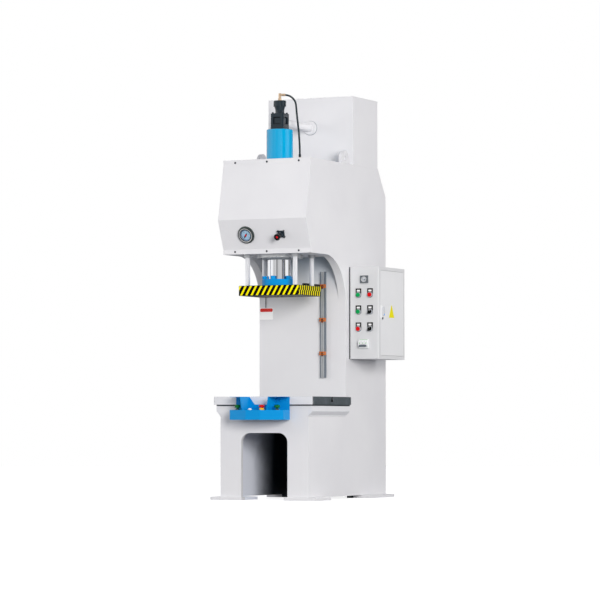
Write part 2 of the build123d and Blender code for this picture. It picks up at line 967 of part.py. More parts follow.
# Ram bolts: socket heads on the flange, shanks in the slide
with BuildPart() as ram_bolts:
    with Locations((0, ram_y, slide_top_z + ram_flange_t)):
        with PolarLocations(ram_bolt_circle_r, ram_bolt_count, start_angle=ram_bolt_turn):
            Cylinder(ram_bolt_head_r, ram_bolt_head_t, align=(Align.CENTER, Align.CENTER, Align.MIN))
            Cylinder(
                ram_bolt_r,
                ram_flange_t + ram_bolt_reach,
                align=(Align.CENTER, Align.CENTER, Align.MAX),
            )
    head_rims = ram_bolts.edges().group_by(Axis.Z)[-1]
    chamfer(head_rims, length=2)
    with BuildSketch(Plane.XY.offset(slide_top_z + ram_flange_t + ram_bolt_head_t)):
        with Locations((0, ram_y)):
            with PolarLocations(ram_bolt_circle_r, ram_bolt_count, start_angle=ram_bolt_turn):
                RegularPolygon(hex_socket_r, 6)
    extrude(amount=-ram_bolt_head_t / 2, mode=Mode.SUBTRACT)
ram_bolts.part.label = "ram_bolts"
export_step(ram_bolts.part, "parts/ram_bolts.step")

# Slide: the moving platen, drilled on top for the bolts and rods and underneath for tooling
with BuildPart() as slide:
    with Locations((0, ram_y, slide_z)):
        Box(slide_width, slide_depth, slide_t, align=(Align.CENTER, Align.CENTER, Align.MIN))
    chamfer(slide.edges(), length=3)
    with Locations((0, ram_y, slide_top_z)):
        with PolarLocations(ram_bolt_circle_r, ram_bolt_count, start_angle=ram_bolt_turn):
            Hole(ram_bolt_r + seat_fit, depth=ram_bolt_reach + 4)
        with GridLocations(2 * rod_offset_x, 2 * rod_offset_y, 2, 2):
            Hole(rod_spigot_r + seat_fit, depth=rod_spigot_depth + 2)
    with Locations(Location((0, ram_y, slide_z), (180, 0, 0))):
        Hole(shank_bore_r, depth=shank_bore_depth)
        with GridLocations(2 * tool_hole_x, 2 * tool_hole_y, 2, 2):
            Hole(tool_hole_r, depth=tool_hole_depth)
slide.part.label = "slide"
export_step(slide.part, "parts/slide.step")

# Guide rods: four chromed rods that stand on the slide
with BuildPart() as guide_rods:
    with BuildSketch(Plane.XY.offset(slide_top_z)):
        with Locations((0, ram_y)):
            with GridLocations(2 * rod_offset_x, 2 * rod_offset_y, 2, 2):
                Circle(rod_r)
    extrude(amount=rod_top_z - slide_top_z)
    chamfer(guide_rods.edges().group_by(Axis.Z)[-1], length=2)
    with BuildSketch(Plane.XY.offset(slide_top_z)):
        with Locations((0, ram_y)):
            with GridLocations(2 * rod_offset_x, 2 * rod_offset_y, 2, 2):
                Circle(rod_spigot_r)
    extrude(amount=-rod_spigot_depth)
guide_rods.part.label = "guide_rods"
export_step(guide_rods.part, "parts/guide_rods.step")

# Guide bushes: collared sleeves pushed up into the seat plate
with BuildPart() as guide_bushes:
    with Locations((0, ram_y, head_under_z)):
        with GridLocations(2 * rod_offset_x, 2 * rod_offset_y, 2, 2):
            Cylinder(bush_collar_r, bush_collar_t, align=(Align.CENTER, Align.CENTER, Align.MAX))
            Cylinder(
                bush_r,
                seat_plate_t + bush_above_seat,
                align=(Align.CENTER, Align.CENTER, Align.MIN),
            )
    chamfer(guide_bushes.edges().group_by(Axis.Z)[0], length=2)
    with Locations((0, ram_y, seat_top_z + bush_above_seat)):
        with GridLocations(2 * rod_offset_x, 2 * rod_offset_y, 2, 2):
            Hole(rod_r + slip_fit)
guide_bushes.part.label = "guide_bushes"
export_step(guide_bushes.part, "parts/guide_bushes.step")

# Trip arm: a flat bar on the slide that reaches back to the limit switches
arm_tip_y = switch_front_y - sensor_gap
arm_start_y = ram_y + slide_depth / 2 - arm_overlap
with BuildPart() as trip_arm:
    with Locations((arm_x, arm_start_y, slide_top_z)):
        Box(arm_width, arm_tip_y - arm_start_y, arm_t, align=(Align.CENTER, Align.MIN, Align.MIN))
    chamfer(trip_arm.edges().filter_by(Axis.Z), length=4)
    for step in (1, 3):
        with Locations((arm_x, arm_start_y + step * arm_overlap / 4, slide_top_z + arm_t)):
            CounterBoreHole(arm_screw_r, 1.6 * arm_screw_r, arm_screw_r)
trip_arm.part.label = "trip_arm"
export_step(trip_arm.part, "parts/trip_arm.step")

# Switch rail: a drawn profile with a T-groove down its front
with BuildPart() as switch_rail:
    with BuildSketch(Plane.XY.offset(rail_z)):
        with Locations((rail_x, column_y)):
            Rectangle(rail_width, rail_depth, align=(Align.CENTER, Align.MAX))
        with Locations((rail_x, rail_front_y)):
            Rectangle(
                rail_groove_width,
                rail_groove_depth,
                align=(Align.CENTER, Align.MIN),
                mode=Mode.SUBTRACT,
            )
        with Locations((rail_x, rail_front_y + rail_lip)):
            Rectangle(
                rail_pocket_width,
                rail_pocket_depth,
                align=(Align.CENTER, Align.MIN),
                mode=Mode.SUBTRACT,
            )
    extrude(amount=rail_length)
switch_rail.part.label = "switch_rail"
export_step(switch_rail.part, "parts/switch_rail.step")

# Limit switches: a clamp round the rail with a sensor in its slot, at three heights
with BuildPart() as limit_switches:
    for step in range(3):
        switch_z = upper_switch_z - step * switch_pitch
        with Locations((rail_x, switch_front_y, switch_z)):
            Box(
                switch_width,
                switch_depth + switch_wrap,
                switch_height,
                align=(Align.CENTER, Align.MIN, Align.CENTER),
            )
            Box(
                switch_slot_width,
                switch_depth / 2,
                switch_height,
                align=(Align.CENTER, Align.MIN, Align.CENTER),
                mode=Mode.SUBTRACT,
            )
        with Locations((rail_x, rail_front_y, switch_z)):
            Box(
                rail_width,
                switch_wrap,
                switch_height,
                align=(Align.CENTER, Align.MIN, Align.CENTER),
                mode=Mode.SUBTRACT,
            )
        with Locations((rail_x, switch_front_y + sensor_r, switch_z + switch_height / 2)):
            Cylinder(sensor_r, sensor_length, align=(Align.CENTER, Align.CENTER, Align.MAX))
limit_switches.part.label = "limit_switches"
export_step(limit_switches.part, "parts/limit_switches.step")

# Prefill valve: a square block, its neck and cone, and the fluted cap
with BuildPart() as prefill_valve:
    with Locations((0, ram_y, block_z)):
        Box(block_width, block_width, block_height, align=(Align.CENTER, Align.CENTER, Align.MIN))
    chamfer(prefill_valve.edges().filter_by(Axis.Z), length=5)
    for turn in (0, 90, 270):
        face_x = block_width / 2 * sin(radians(turn))
        face_y = -block_width / 2 * cos(radians(turn))
        window_z = block_z + block_height / 2 + 6
        with Locations(Location((face_x, ram_y + face_y, window_z), (0, 0, turn))):
            Box(window_width, 2 * window_depth, window_height, mode=Mode.SUBTRACT)
    with Locations(Location((0, ram_y + block_width / 2, pipe_z), (90, 0, 0))):
        Cylinder(pipe_bore_r, block_width / 2, mode=Mode.SUBTRACT)
    with Locations((0, ram_y, block_top_z)):
        corner_span = block_width - 2 * block_screw_inset
        with GridLocations(corner_span, corner_span, 2, 2):
            Cylinder(block_screw_r, block_screw_t, align=(Align.CENTER, Align.CENTER, Align.MIN))
    with BuildSketch(Plane.XZ.offset(-ram_y)):
        with BuildLine():
            Polyline(
                (0, block_top_z),
                (valve_neck_r + 6, block_top_z),
                (valve_neck_r, block_top_z + 8),
                (valve_neck_r, cone_z),
                (fluted_cap_r - 6, cap_z),
                (fluted_cap_r, cap_z),
                (fluted_cap_r, cap_top_z - 4),
                (fluted_cap_r - 4, cap_top_z),
                (0, cap_top_z),
                close=True,
            )
        make_face()
    revolve(axis=ram_axis)
    with Locations((0, ram_y, cap_z)):
        with PolarLocations(fluted_cap_r + 1, flute_count):
            Box(
                flute_r,
                flute_r,
                fluted_cap_t,
                align=(Align.CENTER, Align.CENTER, Align.MIN),
                mode=Mode.SUBTRACT,
            )
prefill_valve.part.label = "prefill_valve"
export_step(prefill_valve.part, "parts/prefill_valve.step")


def hose_point(out, rise):
    """A point of the hose's route, out from the ram's axis and up from the head's top."""
    turn = radians(hose_turn)
    return (out * cos(turn), ram_y + out * sin(turn), head_top_z + rise)


# Hose fittings: the elbow on the valve's cap and the socket on the head
socket_x, socket_y, socket_top_z = hose_point(*hose_route[-1])
with BuildPart() as hose_fittings:
    with BuildSketch(Plane.XY.offset(cap_top_z)):
        with Locations((0, ram_y)):
            RegularPolygon(nipple_hex_r, 6)
    extrude(amount=nipple_t / 2)
    with Locations((0, ram_y, cap_top_z)):
        Cylinder(
            fitting_r,
            nipple_t + elbow_height,
            align=(Align.CENTER, Align.CENTER, Align.MIN),
        )
    elbow_plane = Plane(origin=(0, ram_y, elbow_z), z_dir=(cos(radians(hose_turn)), sin(radians(hose_turn)), 0))
    with BuildSketch(elbow_plane):
        Circle(fitting_r - 1)
    extrude(amount=elbow_reach)
    with BuildSketch(Plane.XY.offset(head_top_z)):
        with Locations((socket_x, socket_y)):
            RegularPolygon(socket_hex_r, 6)
    extrude(amount=socket_hex_t)
    with Locations((socket_x, socket_y, head_top_z)):
        Cylinder(
            fitting_r,
            socket_top_z - head_top_z,
            align=(Align.CENTER, Align.CENTER, Align.MIN),
        )
hose_fittings.part.label = "hose_fittings"
export_step(hose_fittings.part, "parts/hose_fittings.step")

# Pilot hose: straight runs joined by arcs as large as the runs allow
hose_points = [Vector(*hose_point(out, rise)) for out, rise in hose_route]
hose_radii = []
for before, corner, after in zip(hose_points, hose_points[1:], hose_points[2:]):
    turn = (corner - before).get_angle(after - corner)
    shorter = min((corner - before).length, (after - corner).length)
    hose_radii.append(0.45 * shorter / tan(radians(turn / 2)))
print("hose radii", [round(r) for r in hose_radii])
with BuildPart() as pilot_hose:
    with BuildLine() as hose_line:
        FilletPolyline(*hose_points, radius=hose_radii)
    hose_wire = hose_line.wires()[0]
    with BuildSketch(Plane(origin=hose_wire @ 0, z_dir=hose_wire % 0)):
        Circle(hose_r)
    sweep(path=hose_wire)
hose_share = pilot_hose.part.volume / (hose_wire.length * pi * hose_r**2)
print("hose length", round(hose_wire.length), "volume ratio", round(hose_share, 4))
pilot_hose.part.label = "pilot_hose"
export_step(pilot_hose.part, "parts/pilot_hose.step")

# Head cover: a folded sheet with welded cheeks, cut for the gauge and the valve
with BuildPart() as head_cover:
    with BuildSketch(Plane.YZ.offset(-half_width)):
        with BuildLine():
            Polyline(
                (head_y, head_top_z),
                (cover_y, head_top_z),
                (cover_y, head_top_z - cover_strip),
                (cover_fold_y, cover_fold_z),
                (cover_y, head_under_z + cover_strip),
                (cover_y, head_under_z),
                (head_y, head_under_z),
                close=True,
            )
        make_face()
    extrude(amount=frame_width)
    with BuildSketch(Plane.YZ.offset(-half_width + cover_t)):
        with BuildLine():
            Polyline(
                (head_y + cover_bulge, head_top_z - cover_strip),
                (cover_y, head_top_z - cover_strip),
                (cover_fold_y, cover_fold_z),
                (cover_y, head_under_z + cover_strip),
                (head_y + cover_bulge, head_under_z + cover_strip),
                close=True,
            )
        make_face()
        offset(amount=-cover_t, kind=Kind.INTERSECTION, mode=Mode.REPLACE)
    extrude(amount=frame_width - 2 * cover_t, mode=Mode.SUBTRACT)
    with BuildSketch(panel_plane(gauge_x, gauge_drop)):
        Circle(gauge_case_r + seat_fit)
    extrude(amount=-2 * cover_t, mode=Mode.SUBTRACT)
    with BuildSketch(panel_plane(valve_x, gauge_drop)):
        Circle(valve_body_r + seat_fit)
    extrude(amount=-2 * cover_t, mode=Mode.SUBTRACT)
head_cover.part.label = "head_cover"
export_step(head_cover.part, "parts/head_cover.step")

# Pressure gauge: bezel and case in one, hollow down to the dial
with BuildPart(panel_plane(gauge_x, gauge_drop)) as gauge_case:
    Cylinder(gauge_r, gauge_proud, align=(Align.CENTER, Align.CENTER, Align.MIN))
    fillet(gauge_case.edges().group_by(Axis.Y)[0], radius=gauge_edge_r)
    Cylinder(gauge_case_r, gauge_case_depth, align=(Align.CENTER, Align.CENTER, Align.MAX))
    with Locations((0, 0, gauge_proud)):
        Hole(gauge_dial_r, depth=gauge_dial_depth)
    with Locations((0, 0, gauge_proud - gauge_dial_depth)):
        Hole(needle_pin_r + slip_fit, depth=needle_pin_length + 1)
gauge_case.part.label = "gauge_case"
export_step(gauge_case.part, "parts/gauge_case.step")

# Gauge needle: a hub on its pin, with a tapered pointer and a short tail
with BuildPart(panel_plane(gauge_x, gauge_drop)) as gauge_needle:
    needle_base = gauge_proud - gauge_dial_depth + loose_fit
    with BuildSketch(panel_plane(gauge_x, gauge_drop).offset(needle_base)):
        Circle(needle_hub_r)
        Polygon(
            (-needle_tail, -needle_width / 2),
            (needle_length, -needle_width / 8),
            (needle_length, needle_width / 8),
            (-needle_tail, needle_width / 2),
            rotation=needle_angle,
            align=None,
        )
    extrude(amount=needle_t)
    with Locations((0, 0, needle_base)):
        Cylinder(needle_pin_r, needle_pin_length, align=(Align.CENTER, Align.CENTER, Align.MAX))
gauge_needle.part.label = "gauge_needle"
export_step(gauge_needle.part, "parts/gauge_needle.step")

# Control valve: eared flange, round body and the block behind the panel
with BuildPart(panel_plane(valve_x, gauge_drop)) as control_valve:
    Box(
        valve_flange_width,
        valve_flange_width,
        valve_flange_t,
        align=(Align.CENTER, Align.CENTER, Align.MIN),
    )
    with GridLocations(valve_flange_width - 4, valve_flange_width - 4, 2, 2):
        Cylinder(valve_ear_r, valve_flange_t + 4, align=(Align.CENTER, Align.CENTER, Align.MIN))
    Cylinder(
        valve_body_r,
        valve_flange_t + valve_body_length,
        align=(Align.CENTER, Align.CENTER, Align.MIN),
    )
    Cylinder(valve_body_r, 2 * cover_t, align=(Align.CENTER, Align.CENTER, Align.MAX))
    with Locations((0, 0, -2 * cover_t)):
        Box(
            valve_block_width,
            valve_block_width,
            valve_block_depth,
            align=(Align.CENTER, Align.CENTER, Align.MAX),
        )
    with Locations((0, 0, valve_flange_t + valve_body_length)):
        Hole(knob_pin_r + slip_fit, depth=knob_pin_length + 1)
control_valve.part.label = "control_valve"
export_step(control_valve.part, "parts/control_valve.step")

# Valve knob: flares outwards, with flutes for the fingers
with BuildPart(panel_plane(valve_x, gauge_drop)) as valve_knob:
    knob_base = valve_flange_t + valve_body_length + loose_fit
    with Locations((0, 0, knob_base)):
        Cone(
            knob_root_r,
            knob_end_r,
            knob_length,
            align=(Align.CENTER, Align.CENTER, Align.MIN),
        )
        Cylinder(knob_pin_r, knob_pin_length, align=(Align.CENTER, Align.CENTER, Align.MAX))
    with Locations((0, 0, knob_base + knob_length / 3)):
        with PolarLocations(knob_end_r + knob_flute_r / 2, knob_flute_count):
            Cylinder(
                knob_flute_r,
                knob_length,
                align=(Align.CENTER, Align.CENTER, Align.MIN),
                mode=Mode.SUBTRACT,
            )
valve_knob.part.label = "valve_knob"
export_step(valve_knob.part, "parts/valve_knob.step")


def console_facet_y(x):
    """Where the console's angled front face stands at x."""
    share = (x - console_nose_half_width) / (console_half_width - console_nose_half_width)
    return console_nose_y + share * (console_corner_y - console_nose_y)


# Console box: a folded tray with an angled front and the back plate that screws to the table
with BuildPart() as console_box:
    with BuildSketch(Plane.XY.offset(console_z)) as console_plan:
        with BuildLine():
            Polyline(
                (-console_half_width, table_front_y),
                (-console_half_width, console_corner_y),
                (-console_nose_half_width, console_nose_y),
                (console_nose_half_width, console_nose_y),
                (console_half_width, console_corner_y),
                (console_half_width, table_front_y),
                close=True,
            )
        make_face()
    extrude(amount=console_height)
    with BuildSketch(Plane.XY.offset(console_z)):
        add(console_plan.sketch)
        offset(amount=-console_t, kind=Kind.INTERSECTION, mode=Mode.REPLACE)
    extrude(amount=console_height - console_t, mode=Mode.SUBTRACT)
    with BuildSketch(Plane.XZ.offset(-table_front_y)):
        with BuildLine():
            Polyline(
                (-console_half_width, console_z),
                (console_half_width, console_z),
                (console_half_width, hood_top_z),
                (back_slope_x + back_slope_run, hood_top_z),
                (back_slope_x, table_z),
                (-back_slope_x, table_z),
                (-back_slope_x - back_slope_run, hood_top_z),
                (-console_half_width, hood_top_z),
                close=True,
            )
        make_face()
    extrude(amount=console_t)
    with Locations((0, table_front_y - palm_from_back, console_top_z)):
        with GridLocations(2 * palm_x, 1, 2, 1):
            Hole(palm_collar_r - 3 + seat_fit, depth=2 * console_t)
    with Locations((0, table_front_y - stop_from_back, console_top_z)):
        with GridLocations(2 * stop_x, 1, 2, 1):
            Hole(palm_collar_r - 3 + seat_fit, depth=2 * console_t)
console_box.part.label = "console_box"
export_step(console_box.part, "parts/console_box.step")

# Hand hoods: a folded guard with a leaning wall over each palm button, open to the side and the front
with BuildPart() as hand_hoods:
    back_y = table_front_y - console_t
    for side in (-1, 1):
        with BuildSketch(Plane.XY.offset(hood_top_z - console_t)):
            with BuildLine():
                Polyline(
                    (side * hood_top_x, back_y),
                    (side * console_half_width, back_y),
                    (side * console_half_width, console_corner_y),
                    (side * hood_top_x, console_facet_y(hood_top_x)),
                    close=True,
                )
            make_face()
        extrude(amount=console_t)
        with BuildSketch(Plane.XZ.offset(-back_y)):
            with BuildLine():
                Polyline(
                    (side * hood_foot_x, console_top_z),
                    (side * (hood_foot_x + console_t), console_top_z),
                    (side * (hood_top_x + console_t), hood_top_z),
                    (side * hood_top_x, hood_top_z),
                    close=True,
                )
            make_face()
        extrude(amount=back_y - console_facet_y(hood_top_x))
hand_hoods.part.label = "hand_hoods"
export_step(hand_hoods.part, "parts/hand_hoods.step")


def collar(x, from_back, radius, height, bore):
    """A ring on the console's top with a spigot through the sheet."""
    with Locations((x, table_front_y - from_back, console_top_z)):
        Cylinder(radius, height, align=(Align.CENTER, Align.CENTER, Align.MIN))
        Cylinder(palm_collar_r - 3, collar_spigot_t, align=(Align.CENTER, Align.CENTER, Align.MAX))
    with Locations((x, table_front_y - from_back, console_top_z + height)):
        Hole(bore, depth=height + collar_spigot_t)


# Button collars: two under the palm buttons, one under the stop button, one round the white one
with BuildPart() as button_collars:
    collar(-palm_x, palm_from_back, palm_collar_r, palm_collar_t, palm_stem_r + loose_fit)
    collar(palm_x, palm_from_back, palm_collar_r, palm_collar_t, palm_stem_r + loose_fit)
    collar(stop_x, stop_from_back, stop_collar_r, stop_collar_t, palm_stem_r + loose_fit)
    collar(-stop_x, stop_from_back, white_collar_r, white_collar_t, white_cap_r + loose_fit)
button_collars.part.label = "button_collars"
export_step(button_collars.part, "parts/button_collars.step")


def dome_drop(out):
    """How far a mushroom's domed top has fallen at a distance out from its middle."""
    return dome_r - (dome_r**2 - out**2) ** 0.5


def mushroom(collar_height, travel, head_r, head_t):
    """A mushroom head on its stem, standing at the origin, with its travel above the collar."""
    head_z = collar_height + travel + 3 * loose_fit
    stem_z = travel - collar_spigot_t
    top_z = head_z + head_t
    with BuildPart() as button:
        with BuildSketch(Plane.XZ):
            with BuildLine():
                Polyline(
                    (0, top_z),
                    (0, stem_z),
                    (palm_stem_r, stem_z),
                    (palm_stem_r, head_z),
                    (head_r, head_z),
                    (head_r, top_z - dome_drop(head_r)),
                )
                ThreePointArc(
                    (head_r, top_z - dome_drop(head_r)),
                    (head_r / 2, top_z - dome_drop(head_r / 2)),
                    (0, top_z),
                )
            make_face()
        revolve(axis=Axis.Z)
        rims = button.edges().filter_by(GeomType.CIRCLE).filter_by(lambda e: e.radius > head_r - 0.1)
        fillet(rims, radius=dome_edge_r)
    return button.part


# Palm buttons: green mushroom heads, one for each hand
palm_mushroom = mushroom(palm_collar_t, palm_travel, palm_head_r, palm_head_t)
with BuildPart() as left_palm_button:
    with Locations((-palm_x, table_front_y - palm_from_back, console_top_z)):
        add(palm_mushroom)
left_palm_button.part.label = "left_palm_button"
export_step(left_palm_button.part, "parts/left_palm_button.step")

with BuildPart() as right_palm_button:
    with Locations((palm_x, table_front_y - palm_from_back, console_top_z)):
        add(palm_mushroom)
right_palm_button.part.label = "right_palm_button"
export_step(right_palm_button.part, "parts/right_palm_button.step")

# Stop button: a red mushroom on its collar
stop_mushroom = mushroom(stop_collar_t, stop_travel, stop_head_r, stop_head_t)
with BuildPart() as stop_button:
    with Locations((stop_x, table_front_y - stop_from_back, console_top_z)):
        add(stop_mushroom)
stop_button.part.label = "stop_button"
export_step(stop_button.part, "parts/stop_button.step")

# White button: a low round cap inside its ring
with BuildPart() as white_button:
    with Locations((-stop_x, table_front_y - stop_from_back, console_top_z + white_cap_proud)):
        Cylinder(
            white_cap_r,
            white_cap_proud + collar_spigot_t - white_travel - loose_fit,
            align=(Align.CENTER, Align.CENTER, Align.MAX),
        )
    chamfer(white_button.edges().group_by(Axis.Z)[-1], length=2)
white_button.part.label = "white_button"
export_step(white_button.part, "parts/white_button.step")

# Cabinet body: a sheet box on two mounting bars, open behind its door, cut for the controls
with BuildPart() as cabinet_body:
    with Locations((cabinet_x, cabinet_y, cabinet_z)):
        Box(cabinet_width, cabinet_depth, cabinet_height, align=(Align.MIN, Align.MIN, Align.MIN))
    front_corners = cabinet_body.edges().filter_by(Axis.Z).group_by(Axis.X)[-1]
    fillet(front_corners, radius=cabinet_edge_r)
    with Locations((cabinet_x + cabinet_t, cabinet_y + cabinet_t, cabinet_z + cabinet_t)):
        Box(
            cabinet_width - 2 * cabinet_t,
            cabinet_depth - 2 * cabinet_t,
            cabinet_height - 2 * cabinet_t,
            align=(Align.MIN, Align.MIN, Align.MIN),
            mode=Mode.SUBTRACT,
        )
    with Locations((door_x, door_y, door_z)):
        Box(
            4 * cabinet_t,
            door_rear_y - door_y,
            door_top_z - door_z,
            align=(Align.CENTER, Align.MIN, Align.MIN),
            mode=Mode.SUBTRACT,
        )
    for bar_z in (cabinet_z + mount_bar_inset, cabinet_top_z - mount_bar_inset):
        with Locations((half_width, cabinet_y + cabinet_depth / 2, bar_z)):
            Box(
                cabinet_gap,
                cabinet_depth - 2 * mount_bar_inset,
                mount_bar_height,
                align=(Align.MIN, Align.CENTER, Align.CENTER),
            )
    for hinge_z, upright in ((door_top_z, Align.MIN), (door_z, Align.MAX)):
        with Locations((door_x - cabinet_t, door_rear_y, hinge_z)):
            Box(hinge_block, hinge_block, hinge_block, align=(Align.MAX, Align.MAX, upright))
        with Locations((hinge_x, hinge_y, hinge_z)):
            Cylinder(
                hinge_pin_r + slip_fit,
                2 * (hinge_pin_length + 1),
                align=(Align.CENTER, Align.CENTER, Align.CENTER),
                mode=Mode.SUBTRACT,
            )
    with Locations(Location((panel_mid_x, cabinet_y, 0), (90, 0, 0))):
        with Locations((0, meter_z)):
            Box(
                meter_body_size + 2 * seat_fit,
                meter_body_size + 2 * seat_fit,
                4 * cabinet_t,
                mode=Mode.SUBTRACT,
            )
        with Locations((0, breaker_z + breaker_height / 2)):
            Box(
                breaker_width - 10,
                breaker_height - 10,
                4 * cabinet_t,
                mode=Mode.SUBTRACT,
            )
        for row_z in control_rows:
            with Locations((-control_spread, row_z), (control_spread, row_z)):
                Cylinder(button_stem_r + 4, 4 * cabinet_t, mode=Mode.SUBTRACT)
cabinet_body.part.label = "cabinet_body"
export_step(cabinet_body.part, "parts/cabinet_body.step")

# Cabinet door: a folded pan with its handle plate and hinge pins
with BuildPart() as cabinet_door:
    pan_y = door_y + door_gap
    pan_rear_y = door_rear_y - door_hinge_gap
    pan_z = door_z + door_gap
    pan_top_z = door_top_z - door_gap
    with Locations((door_x, pan_y, pan_z)):
        Box(door_pan, pan_rear_y - pan_y, pan_top_z - pan_z, align=(Align.MAX, Align.MIN, Align.MIN))
    with Locations((door_x - cabinet_t, pan_y + cabinet_t, pan_z + cabinet_t)):
        Box(
            door_pan,
            pan_rear_y - pan_y - 2 * cabinet_t,
            pan_top_z - pan_z - 2 * cabinet_t,
            align=(Align.MAX, Align.MIN, Align.MIN),
            mode=Mode.SUBTRACT,
        )
    with BuildSketch(Plane.YZ.offset(door_x)):
        with Locations((door_latch_y, handle_z)):
            RectangleRounded(handle_width, handle_height, handle_width / 2 - 2)
    extrude(amount=handle_t)
    with Locations(Location((door_x + handle_t, door_latch_y, lever_pivot_z), (0, 90, 0))):
        Hole(lever_spindle_r + slip_fit, depth=handle_t + 2 * cabinet_t)
    for pin_z, upright in ((pan_top_z, Align.MIN), (pan_z, Align.MAX)):
        with Locations((hinge_x, hinge_y, pin_z)):
            Cylinder(hinge_pin_r, hinge_pin_length, align=(Align.CENTER, Align.CENTER, upright))
cabinet_door.part.label = "cabinet_door"
export_step(cabinet_door.part, "parts/cabinet_door.step")

# Door latch: a quarter-turn lever on its spindle
with BuildPart() as door_latch:
    lever_x = door_x + handle_t + loose_fit
    with BuildSketch(Plane.YZ.offset(lever_x)):
        with Locations((door_latch_y, lever_pivot_z - lever_length / 2 + lever_width / 2)):
            RectangleRounded(lever_width, lever_length, lever_width / 2 - 1)
    extrude(amount=lever_t)
    fillet(door_latch.faces().sort_by(Axis.X)[-1].edges(), radius=3)
    with BuildSketch(Plane.YZ.offset(lever_x)):
        with Locations((door_latch_y, lever_pivot_z)):
            Circle(lever_spindle_r)
    extrude(amount=-lever_spindle_length)
door_latch.part.label = "door_latch"
export_step(door_latch.part, "parts/door_latch.step")


def front_plane(x, z):
    """A plane on the cabinet's front at x and z, facing the operator."""
    return Plane(origin=(x, cabinet_y, z), x_dir=(1, 0, 0), z_dir=(0, -1, 0))


# Hour meter: a square bezel with a proud ring round its dial, on a square case
with BuildPart(front_plane(panel_mid_x, meter_z)) as hour_meter:
    Box(meter_size, meter_height, meter_proud, align=(Align.CENTER, Align.CENTER, Align.MIN))
    fillet(hour_meter.edges().filter_by(Axis.Y), radius=4)
    Box(
        meter_body_size,
        meter_body_size,
        meter_body_depth,
        align=(Align.CENTER, Align.CENTER, Align.MAX),
    )
    with Locations((0, 0, meter_proud)):
        Cylinder(meter_ring_r, meter_ring_t, align=(Align.CENTER, Align.CENTER, Align.MIN))
    with Locations((0, 0, meter_proud + meter_ring_t)):
        Hole(meter_ring_r - meter_rim, depth=meter_dial_depth)
hour_meter.part.label = "hour_meter"
export_step(hour_meter.part, "parts/hour_meter.step")

# Legend plates: one under each control, with a window above and a raised bezel
with BuildPart() as legend_plates:
    for row_z in control_rows:
        for x in (panel_mid_x - control_spread, panel_mid_x + control_spread):
            here = front_plane(x, row_z)
            with BuildSketch(here):
                Circle(legend_width / 2)
                Rectangle(legend_width, legend_rise, align=(Align.CENTER, Align.MIN))
            extrude(amount=legend_t)
            with BuildSketch(here.offset(legend_t)):
                with Locations((0, window_rise)):
                    Rectangle(*window_size)
            extrude(amount=-window_recess, mode=Mode.SUBTRACT)
            with BuildSketch(here):
                Circle(bezel_r)
            extrude(amount=legend_t + bezel_t)
            with BuildSketch(here):
                Circle(button_stem_r + 4 - seat_fit)
            extrude(amount=-3 * cabinet_t)
            with BuildSketch(here.offset(legend_t + bezel_t)):
                Circle(button_r + loose_fit)
            extrude(amount=-bezel_t, mode=Mode.SUBTRACT)
            with BuildSketch(here.offset(legend_t + bezel_t)):
                Circle(button_stem_r + loose_fit)
            extrude(amount=-legend_t - bezel_t - 4 * cabinet_t, mode=Mode.SUBTRACT)
legend_plates.part.label = "legend_plates"
export_step(legend_plates.part, "parts/legend_plates.step")


# Push buttons: two green and two red, each a round cap on its stem
with BuildPart() as push_button:
    cap_start = legend_t + button_travel + loose_fit
    with BuildSketch(Plane.XY.offset(cap_start)):
        Circle(button_r)
    extrude(amount=legend_t + button_proud - cap_start)
    chamfer(push_button.edges().group_by(Axis.Z)[-1], length=1.5)
    with BuildSketch(Plane.XY.offset(cap_start)):
        Circle(button_stem_r)
    extrude(amount=-button_stem_length)

left_x = panel_mid_x - control_spread
right_x = panel_mid_x + control_spread

with BuildPart() as upper_green_button:
    with Locations(front_plane(left_x, control_rows[0]).location):
        add(push_button.part)
upper_green_button.part.label = "upper_green_button"
export_step(upper_green_button.part, "parts/upper_green_button.step")

with BuildPart() as lower_green_button:
    with Locations(front_plane(left_x, control_rows[1]).location):
        add(push_button.part)
lower_green_button.part.label = "lower_green_button"
export_step(lower_green_button.part, "parts/lower_green_button.step")

with BuildPart() as upper_red_button:
    with Locations(front_plane(right_x, control_rows[0]).location):
        add(push_button.part)
upper_red_button.part.label = "upper_red_button"
export_step(upper_red_button.part, "parts/upper_red_button.step")

with BuildPart() as lower_red_button:
    with Locations(front_plane(left_x, control_rows[2]).location):
        add(push_button.part)
lower_red_button.part.label = "lower_red_button"
export_step(lower_red_button.part, "parts/lower_red_button.step")

# Selector switches: a disc in the bezel with a grip bar across it, leaning to the right
with BuildPart() as selector:
    disc_start = legend_t + loose_fit
    bar_start = disc_start + bezel_t + selector_disc_t
    with BuildSketch(Plane.XY.offset(disc_start)):
        Circle(button_r)
    extrude(amount=bezel_t + selector_disc_t)
    with BuildSketch(Plane.XY.offset(bar_start)):
        Polygon(
            (-selector_bar_length / 2, -selector_bar_width / 2),
            (selector_bar_length / 2, -selector_bar_width / 3),
            (selector_bar_length / 2, selector_bar_width / 3),
            (-selector_bar_length / 2, selector_bar_width / 2),
            rotation=selector_angle,
            align=None,
        )
    extrude(amount=selector_bar_t)
    with BuildSketch(Plane.XY.offset(disc_start)):
        Circle(button_stem_r)
    extrude(amount=-button_stem_length)

with BuildPart() as upper_selector:
    with Locations(front_plane(right_x, control_rows[1]).location):
        add(selector.part)
upper_selector.part.label = "upper_selector"
export_step(upper_selector.part, "parts/upper_selector.step")

with BuildPart() as lower_selector:
    with Locations(front_plane(right_x, control_rows[2]).location):
        add(selector.part)
lower_selector.part.label = "lower_selector"
export_step(lower_selector.part, "parts/lower_selector.step")

